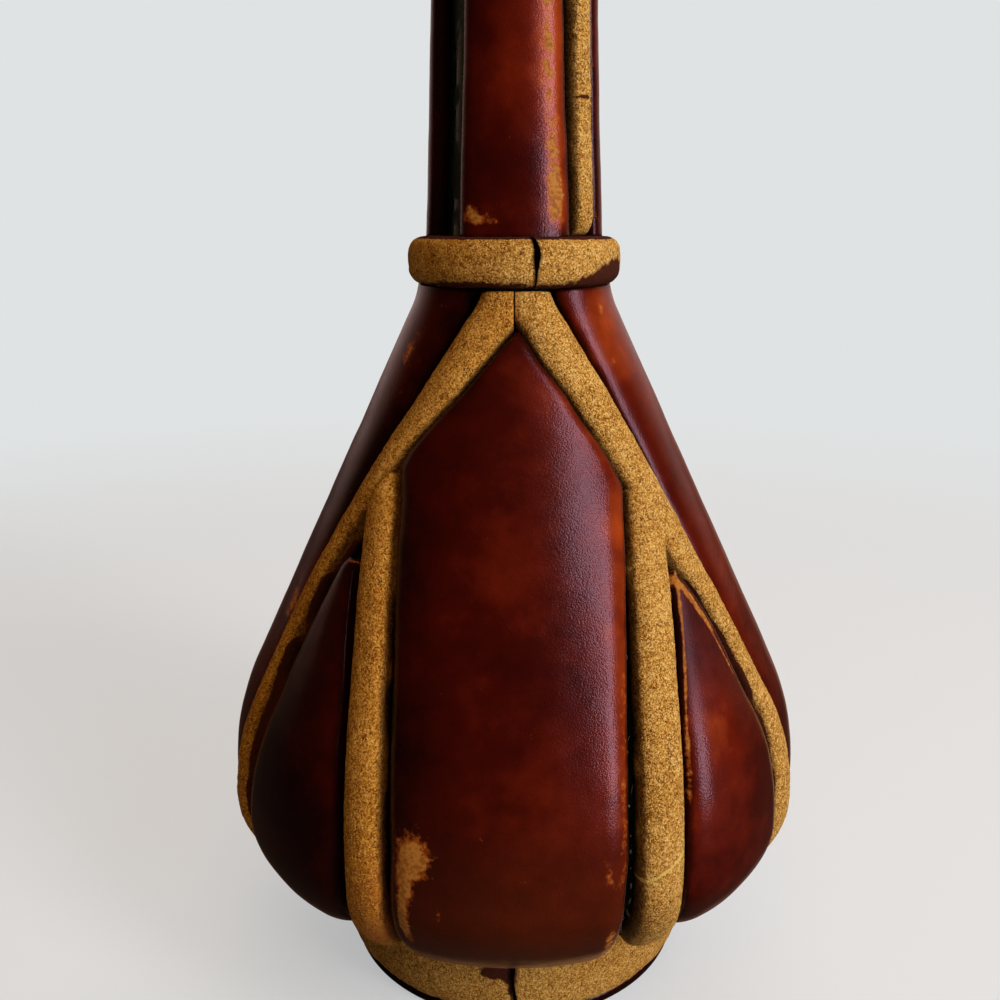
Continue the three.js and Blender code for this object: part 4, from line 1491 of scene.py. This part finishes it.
def lathe_pattern(name, line, segments, edge, marks_and_painted_light):
    """A pattern that closes round the axis. Its line starts and ends on the axis."""
    azimuth = np.arange(segments)[:, None] * 2 * math.pi / segments * np.ones((1, len(line)))
    along = np.broadcast_to(run_lengths(line), azimuth.shape)
    fields = {
        "along": along * MM, "azimuth": azimuth, "rise": np.zeros_like(along),
        "face": np.ones_like(along), "edge": np.broadcast_to(edge, along.shape) * MM,
    }
    radius, height = (np.broadcast_to(values, along.shape) for values in line.T)
    fields.update(marks_and_painted_light({"azimuth": wrapped(azimuth), "height": height, "radius": radius}))
    at = wrap_grid(*azimuth.shape, True, False)
    return mesh_from(name, grid_faces(at.T), {key: np.ravel(values) for key, values in fields.items()})


def half_round(inner, outer, bottom, top, squareness, count):
    """Section of a cork strip: a round back from its lower to its upper edge, then the flat inside."""
    angle = np.linspace(-QUARTER, QUARTER, count)
    bulge = np.abs(np.cos(angle)) ** (2 / squareness)
    rise = np.sign(np.sin(angle)) * np.abs(np.sin(angle)) ** (2 / squareness)
    back = np.column_stack([inner + BEAD_LAND + (outer - inner - BEAD_LAND) * bulge,
                            (top + bottom) / 2 + (top - bottom) / 2 * rise])
    inside = np.linspace([inner, top], [inner, bottom], INSIDE_POINTS)
    return np.vstack([back, inside])


def fine_line(corners, step, rounds):
    """A line through corner points, each corner cut by a small round, with points at most a step apart."""
    corners = np.asarray(corners, float)
    line = [corners[0]]
    for before, corner, after in zip(corners[:-2], corners[1:-1], corners[2:]):
        shorter = min(np.linalg.norm(corner - before), np.linalg.norm(after - corner))
        size = min(rounds, shorter / ROUND_SHARE)
        if size > 0:
            ends = toward(corner, before, size), toward(corner, after, size)
            line.extend(bezier(ends[0], corner, ends[1], count=ROUND_POINTS))
        else:
            line.append(corner)
    line.append(corners[-1])
    filled = [line[0]]
    for a, b in zip(line[:-1], line[1:]):
        count = max(1, math.ceil(np.linalg.norm(b - a) / step))
        filled.extend(a + (b - a) * k / count for k in range(1, count + 1))
    filled = np.array(filled)
    keep = np.concatenate([[True], np.linalg.norm(np.diff(filled, axis=0), axis=1) > SAME_PLACE])
    return filled[keep]


print("ring and lathe patterns ready")

# %% [markdown]
# ## Collar, foot ring and lip ring
# Dye has run over the collar's right end, and the seams show as crooked dark lines. Its lower edge is dark
# with dye and painted shade, and painted shade darkens the crevice by the neck and the collar's left part.

# %% Cork rings
COLLAR_SPAN = (15.35, 22.4)
FOOT_SPAN = (38.74, 41.44)
MOUTH_SPAN = (11.83, 17.03)
BACK_POINTS = 33
COLLAR_SEAM = [(0.0, 0.25), (0.3, 0.5), (0.65, 1.4), (1.0, 0.8)]
FOOT_SEAM = [(0.0, 0.9), (0.5, 0.9), (1.0, 1.8)]
TIGHT_SEAM = [(0.0, 0.4), (1.0, 0.7)]
BACK_SEAM = {"squareness": 2.0, "seam": 170.0, "slant": 0.6, "gape": TIGHT_SEAM}
DYED_EDGE = 2.2
CREVICE_RADIUS = 20.6


def collar_dye_and_shade(place):
    """Painted shade along the lower edge with some dye, in the crevice by the neck and on the left part."""
    height = place["height"]
    lower = np.exp(-((height - COLLAR[0]) / DYED_EDGE) ** 2) * 0.62
    crevice = smooth_step(height, COLLAR[1] - 1.0, COLLAR[1] - 0.3) * (place["radius"] < CREVICE_RADIUS)
    stain = lower + crevice + marks(
        place,
        (spot, 56.0, 156.2, 14.0, 6.0, 0.75), (spot, 70.0, 157.6, 12.0, 8.0, 0.6),
        (spot, 55.0, 164.4, 10.0, 2.0, 0.6), (spot, 3.6, 161.5, 1.4, 1.6, 0.6),
        (spot, -25.0, 154.8, 14.0, 2.6, 0.35),
    )
    aged = 0.7 * (1 - smooth_step(place["azimuth"], math.radians(-35), math.radians(5)))
    return {"stain": stain, "aged": aged}


def foot_stain(place):
    stain = marks(place, (spot, -6.0, 13.6, 8.0, 4.0, 1.0), (spot, -1.0, 10.0, 3.4, 14.0, 0.6))
    return {"stain": stain, "aged": np.full_like(stain, 0.3)}


def cork_ring(node, span, heights, squareness, seam, slant, gape, seed, marks_and_painted_light, body="bottle"):
    """A ring between two radii and two heights, with a seam at an angle in degrees that gapes a little."""
    section = half_round(*span, *heights, squareness, BACK_POINTS)
    guide = turned_guide(f"{node}_section", np.vstack([section, section[:1]]))
    steps = round(2 * math.pi * span[1] / CORK_STEP)
    mesh = ring_pattern(node, section, math.radians(seam), slant, gape, steps, marks_and_painted_light)
    return lay(node, mesh, guide, cork, CORK_FEEL, seed, body)


rings = [
    cork_ring(
        "collar_bead", COLLAR_SPAN, COLLAR, squareness=3.4, seam=10.0, slant=-0.6, gape=COLLAR_SEAM,
        seed=61, marks_and_painted_light=collar_dye_and_shade,
    ),
    cork_ring(
        "foot_bead", FOOT_SPAN, FOOT, squareness=2.4, seam=-1.0, slant=-2.0, gape=FOOT_SEAM,
        seed=62, marks_and_painted_light=foot_stain,
    ),
    cork_ring("mouth_bead", MOUTH_SPAN, MOUTH, **BACK_SEAM, seed=63, marks_and_painted_light=unmarked),
]
tally("rings", rings)

# %% [markdown]
# ## The bottle and its base
# The glass is turned from a line that runs from the push-up in the base, up the outside, over the lip and
# down the inside. The base wears a thin leather disc.

# %% Glass bottle and base disc
WALL = 2.6
PUNT = (27.0, 6.0)
LIP = (1.6, 5.0, 1.2)
HEEL_ROUND = 2.0
INNER_HEEL_RISE = 1.0
TURNED_STEP = 1.5
LIP_STEP = 0.8
DISC_RADIUS = 39.5
DISC_THICKNESS = 2.2
DISC_STEP = 1.2
DISC_ROUND = 0.7


def bottle_line():
    flare, lip_height, lip_round = LIP
    lip_radius = NECK_TOP_RADIUS + flare
    lip_top = lip_seat + lip_height
    bore = NECK_TOP_RADIUS - WALL
    normals = np.column_stack([glass_tangent[:, 1], -glass_tangent[:, 0]])
    inside = (glass_line - normals * WALL)[::-1]
    foot = BASE_LIFT
    punt_radius, punt_rise = PUNT
    punt_corners = np.array([(0, foot + punt_rise), (punt_radius / 2, foot + punt_rise), (punt_radius, foot)])
    punt = bezier(*punt_corners, count=15)
    punt_inside = punt[::-1] + np.array([0, WALL])
    lip_corners = [(lip_radius, lip_seat + lip_round), (lip_radius, lip_top), (bore, lip_top)]
    lip = fine_line([glass_line[-1], *lip_corners, inside[0]], LIP_STEP, lip_round)
    heel = fine_line([punt[-1], (HEEL[0], foot), glass_line[0]], TURNED_STEP, HEEL_ROUND)
    inner_corner = (HEEL[0] - WALL, foot + WALL + INNER_HEEL_RISE)
    inner_heel = fine_line([inside[-1], inner_corner, punt_inside[0]], TURNED_STEP, HEEL_ROUND)
    outside = [punt, heel[1:], glass_line[1::2], lip[1:]]
    return np.vstack(outside + [inside[2::4], inner_heel[1:], punt_inside[1:]])


glass_outline = bottle_line()
bottle = lay(
    "glass_bottle", lathe_pattern("glass", glass_outline, 96, 0.0, unmarked),
    turned_guide("bottle_line", glass_outline), dark_glass, PLAIN_FEEL, 71,
)


def worn_rim(place):
    wear = 0.1 * smooth_step(place["radius"], DISC_RADIUS - 3.5, DISC_RADIUS)
    return {"wear": wear, "glow": np.full_like(wear, -0.4)}


disc_corners = [(0, 0), (DISC_RADIUS, 0), (DISC_RADIUS, DISC_THICKNESS), (0, DISC_THICKNESS)]
disc_outline = fine_line(disc_corners, DISC_STEP, DISC_ROUND)
base_disc = lay(
    "base_disc", lathe_pattern("disc", disc_outline, 128, DISC_RADIUS - disc_outline[:, 0], worn_rim),
    turned_guide("disc_line", disc_outline), leather, PLAIN_FEEL, 72,
)
tally("bottle and base", [bottle, base_disc])

# %% [markdown]
# ## The stopper
# A tapered cork plug on a turned core, a cork bead round the rim and a moulded leather cap. It lifts out, so
# its pieces ride on the stopper's own body.

# %% Stopper
SEAT = lip_seat + LIP[1] + FIT
PLUG = (26.0, 8.35, 0.9, 1.0)
DOWEL_RADIUS = 3.0
DOWEL_LENGTH = 12.0
CORE = 13.0
CAP = (17.0, 24.0, 2.6, 1.2)
RIM_SPAN = (13.46, 18.46)
RIM_BEAD = 8.5
PLUG_STEP = 0.6
CORE_STEP = 1.0
CORE_ROUND = 0.3
CAP_LIP = 0.1
PLUG_FEEL = {**CORK_FEEL, "Lump Height": 0.0002, "Grain Height": 0.0002}
CAP_FEEL = {**LEATHER_FEEL, "Lump Height": 0.0004}


def dome(radius, bottom, height, count=25):
    angle = np.linspace(0, QUARTER, count)
    return np.column_stack([radius * np.cos(angle), bottom + height * np.sin(angle)])


def on_axis(line):
    """The line with both its ends moved onto the axis."""
    line = np.array(line, float)
    line[[0, -1], 0] = 0.0
    return line


plug_length, plug_radius, plug_taper, plug_chamfer = PLUG
dowel_hole = DOWEL_RADIUS + FIT
dowel_low = SEAT - DOWEL_LENGTH
plug_low = SEAT - plug_length
plug_outline = fine_line([
    (0, plug_low), (plug_radius - plug_taper, plug_low), (plug_radius, SEAT - FIT),
    (dowel_hole, SEAT - FIT), (dowel_hole, dowel_low - FIT), (0, dowel_low - FIT),
], PLUG_STEP, plug_chamfer)


def plug_marks(place):
    return {"stain": 0.35 * smooth_step(place["height"], SEAT - 5.0, SEAT)}


cap_radius, cap_height, cap_wall, cap_round = CAP
cap_low = SEAT + RIM_BEAD + FIT
cap_skin = dome(cap_radius, cap_low + cap_round, cap_height - cap_round)
cap_lining = dome(cap_radius - cap_wall, cap_low, cap_height - cap_wall)[::-1]
cap_rim = bezier(cap_lining[-1] + [CAP_LIP, 0], np.array([cap_radius, cap_low]), cap_skin[0], count=8)
cap_outline = on_axis(np.vstack([cap_lining, cap_rim[:-1], cap_skin]))
cap_edge = np.where(np.arange(len(cap_outline)) < len(cap_lining), 0.0, cap_outline[:, 1] - cap_low)


def cap_wear(place):
    above = place["height"] - cap_low
    rim = 0.36 * np.exp(-(above / 2.5) ** 2)
    wear = rim + marks(place, (spot, 25.0, cap_low + 20, 8.0, 6.0, 0.4))
    return {"wear": wear, "glow": 0.35 * smooth_step(above, 6, 24)}


core_corners = [
    (0, dowel_low), (DOWEL_RADIUS, dowel_low), (DOWEL_RADIUS, SEAT), (CORE, SEAT), (CORE, cap_low),
]
core_dome = dome(cap_radius - cap_wall - FIT, cap_low, cap_height - cap_wall - FIT)
core_outline = on_axis(np.vstack([fine_line(core_corners, CORE_STEP, CORE_ROUND), core_dome]))
stopper = []
for name, line, segments, edge, marks_and_painted_light, finish, feel, seed in [
    ("plug", plug_outline, 80, 4.0, plug_marks, cork, PLUG_FEEL, 81),
    ("core", core_outline, 64, 4.0, unmarked, turned_wood, PLAIN_FEEL, 82),
    ("cap", cap_outline, 112, cap_edge, cap_wear, leather, CAP_FEEL, 83),
]:
    pattern = lathe_pattern(name, line, segments, edge, marks_and_painted_light)
    guide = turned_guide(f"{name}_line", line)
    stopper.append(lay(f"stopper_{name}", pattern, guide, finish, feel, seed, "stopper"))
stopper.append(cork_ring(
    "stopper_bead", RIM_SPAN, (SEAT, SEAT + RIM_BEAD), **BACK_SEAM, seed=84, marks_and_painted_light=unmarked, body="stopper"
))
tally("stopper", stopper)

# %% [markdown]
# ## Crumbs of old glue
# In the groove right of the front strap the glass shows, with crumbs of dried glue on it. They follow a path
# and repeat, so a second tree scatters them: points along the groove, each with a chip of its own size and
# turn. The seed is fixed, so that every run gives the same crumbs.
# Their blue-grey is a painted glint of the window.

# %% The glue tree
CHIP_STRETCH = 5.0
GLUE_HEIGHTS = (32.0, 92.0)
GLUE_OFF = 0.35
GROOVE_POINTS = 60


def scatter_tree():
    tree = bpy.data.node_groups.new("crumbs_along_path", "GeometryNodeTree")
    bench = Bench(tree)
    tree.interface.new_socket(name="Geometry", in_out="OUTPUT", socket_type="NodeSocketGeometry")
    for name, kind in [
        ("Unused Mesh", "NodeSocketGeometry"),
        ("Path", "NodeSocketObject"),
        ("Count", "NodeSocketInt"),
        ("Least Size", "NodeSocketFloat"),
        ("Most Size", "NodeSocketFloat"),
        ("Spread", "NodeSocketFloat"),
        ("Seed", "NodeSocketInt"),
        ("Finish", "NodeSocketMaterial"),
    ]:
        group_input(bench, name, kind)
    given = bench.node("NodeGroupInput")
    seed = given.out("Seed")

    def random_vector(low, high, shift):
        inputs = {0: low, 1: high, "Seed": seed + shift}
        return bench.node("FunctionNodeRandomValue", {"data_type": "FLOAT_VECTOR"}, inputs)

    path = bench.node("GeometryNodeObjectInfo", None, {"Object": given.out("Path")}).out("Geometry")
    spread_out = {"Curve": path, "Count": given.out("Count")}
    points = bench.node("GeometryNodeCurveToPoints", {"mode": "COUNT"}, spread_out)
    sway = bench.node(
        "ShaderNodeVectorMath", {"operation": "SCALE"},
        {0: random_vector((-1.0, -1.0, -3.0), (1.0, 1.0, 3.0), 1), "Scale": given.out("Spread")},
    )
    strewn = bench.node("GeometryNodeSetPosition", None, {"Geometry": points, "Offset": sway})
    chip = bench.node("GeometryNodeMeshIcoSphere", None, {"Radius": 1.0, "Subdivisions": 1})
    turn = random_vector((-0.4, -0.4, 0.0), (0.4, 0.4, 6.28), 2)
    least, most = given.out("Least Size"), given.out("Most Size")
    span = most - least
    shares = random_vector((0.0, 0.0, 0.0), (1.0, 1.0, 1.0), 3)
    share = bench.node("ShaderNodeSeparateXYZ", None, {0: shares})
    sizes = [least + span * share.out(axis) for axis in "XYZ"]
    size = bench.node("ShaderNodeCombineXYZ", None, {0: sizes[0], 1: sizes[1], 2: sizes[2] * CHIP_STRETCH})
    chips = {"Points": strewn, "Instance": chip, "Rotation": turn, "Scale": size}
    strewn = bench.node("GeometryNodeInstanceOnPoints", None, chips)
    real = bench.node("GeometryNodeRealizeInstances", None, {"Geometry": strewn})
    done = bench.node("GeometryNodeSetMaterial", None, {"Geometry": real, "Material": given.out("Finish")})
    bench.node("NodeGroupOutput", None, {"Geometry": done})
    return tree


crumbs_along_path = scatter_tree()
groove_low = where_edge(GLUE_HEIGHTS[0], GLUE, 0.0, belly_s)
groove_high = where_edge(GLUE_HEIGHTS[1], GLUE, cone_s, body_high)
groove_s = np.linspace(groove_low, groove_high, GROOVE_POINTS)
groove_angle = front_strap.beside(groove_s, -HALF_BEAD - GROOVE / 2)
groove_radius = face_radius(groove_s, GLUE_OFF)
groove_path = np.column_stack([
    groove_radius * np.sin(groove_angle), -groove_radius * np.cos(groove_angle), skin(groove_s)[1],
]) * MM
crumbs = run_tree("glue_crumbs", bpy.data.meshes.new("glue"), crumbs_along_path, {
    "Path": guide_line("groove_path", groove_path), "Count": 20, "Least Size": 0.00004, "Most Size": 0.00024,
    "Spread": 0.0005, "Seed": 9, "Finish": old_glue_and_painted_glint,
})
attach(crumbs, "bottle")
tally("glue", [crumbs])

# %% [markdown]
# ## Floor and light
# Plain studio ground and one tall soft light from the right, as from a window, leave the left side in shade.
# A weak one from above and one from behind stand for the room. The floor and the sky look pale to the camera
# without adding that light to the object.

# %% Floor, world and lamps
FLOOR_HALF = 6.0
FLOOR_DROP = 0.0003
AIM_HEIGHT = 0.08
PALE = rgb(0.745, 0.765, 0.77)
floor_mesh = bpy.data.meshes.new("floor")
floor_signs = [(-1, -1), (1, -1), (1, 1), (-1, 1)]
floor_corners = [(x * FLOOR_HALF, y * FLOOR_HALF, -FLOOR_DROP) for x, y in floor_signs]
floor_mesh.from_pydata(floor_corners, [], [(0, 1, 2, 3)])
floor = bpy.data.objects.new("floor", floor_mesh)
scene.collection.objects.link(floor)


def floor_finish(name):
    finish, bench = new_finish(name)
    ray = bench.node("ShaderNodeLightPath")
    seen = ray.out("Is Camera Ray")
    away = {0: object_place(bench)}
    far = bench.node("ShaderNodeVectorMath", {"operation": "LENGTH"}, away, output="Value")
    shown = blend_colours(bench, ray.out("Is Glossy Ray"), rgb(0.36, 0.375, 0.40), rgb(0.05, 0.04, 0.03))
    lit = bench.node("ShaderNodeBsdfPrincipled", None, {"Base Color": shown, "Roughness": 0.9})
    lift = bench.node("ShaderNodeEmission", None, {"Color": rgb(0.88, 0.9, 0.92), "Strength": seen * 0.50})
    near = bench.node("ShaderNodeAddShader", None, {0: lit, 1: lift})
    haze = bench.node("ShaderNodeEmission", None, {"Color": PALE, "Strength": 1.0})
    fade = seen * soft_range(bench, far, 0.22, 0.75)
    both = bench.node("ShaderNodeMixShader", None, {0: fade, 1: near, 2: haze})
    bench.node("ShaderNodeOutputMaterial", None, {"Surface": both})
    return finish


def room_world(name):
    """Pale to the camera and in reflections of the wall behind. To all else a dim warm room."""
    world = bpy.data.worlds.new(name)
    world.use_nodes = True
    world.node_tree.nodes.clear()
    sky = Bench(world.node_tree)
    ray = sky.node("ShaderNodeLightPath")
    seen = ray.out("Is Camera Ray")
    view = sky.node("ShaderNodeTexCoord").out("Generated")
    direction = sky.node("ShaderNodeSeparateXYZ", None, {0: view})
    wall = soft_range(sky, direction.out("Y"), 0.1, 0.8)
    right = soft_range(sky, direction.out("X"), -0.3, 0.5)
    shown = seen + ray.out("Is Glossy Ray") * wall
    pale_wall = blend_colours(sky, seen, rgb(0.72, 0.50, 0.46), PALE)
    light = 0.06 + wall * (0.22 + right * 0.8)
    colour = blend_colours(sky, shown, rgb(0.86, 0.52, 0.26), pale_wall)
    strength = light + shown * (1 - light)
    room = sky.node("ShaderNodeBackground", None, {"Color": colour, "Strength": strength})
    sky.node("ShaderNodeOutputWorld", None, {"Surface": room})
    return world


floor_mesh.materials.append(floor_finish("pale_floor"))
scene.world = room_world("room")


def soft_lamp(name, azimuth, elevation, distance, width, tall, watts, mirrored=True):
    """An area lamp aimed at the belly. Azimuth and elevation in degrees, sizes in metres."""
    lamp = bpy.data.lights.new(name, "AREA")
    lamp.shape = "RECTANGLE"
    lamp.size, lamp.size_y, lamp.energy = width, tall, watts
    azimuth, elevation = math.radians(azimuth), math.radians(elevation)
    reach = distance * math.cos(elevation)
    made = bpy.data.objects.new(name, lamp)
    made.location = (
        reach * math.sin(azimuth), -reach * math.cos(azimuth), AIM_HEIGHT + distance * math.sin(elevation)
    )
    made.rotation_euler = (QUARTER - elevation, 0.0, azimuth)
    made.visible_glossy = mirrored
    made.visible_camera = False
    scene.collection.objects.link(made)
    return lamp


window = soft_lamp("window", azimuth=50, elevation=22, distance=0.9, width=0.24, tall=0.80, watts=7.4)
ceiling = soft_lamp(
    "ceiling", azimuth=0, elevation=60, distance=1.0, width=0.7, tall=0.7, watts=2.8, mirrored=False
)
ceiling.color = (1.0, 0.68, 0.32)
behind = soft_lamp(
    "behind", azimuth=170, elevation=35, distance=1.2, width=0.9, tall=0.9, watts=5.0, mirrored=False
)
print("lamps in watts", {lamp.name: round(lamp.energy, 1) for lamp in (window, ceiling, behind)})

# %% [markdown]
# ## Tidying up
# The guides have done their work and go.

# %% Tidy up
for guide in guides:
    bpy.data.objects.remove(guide)
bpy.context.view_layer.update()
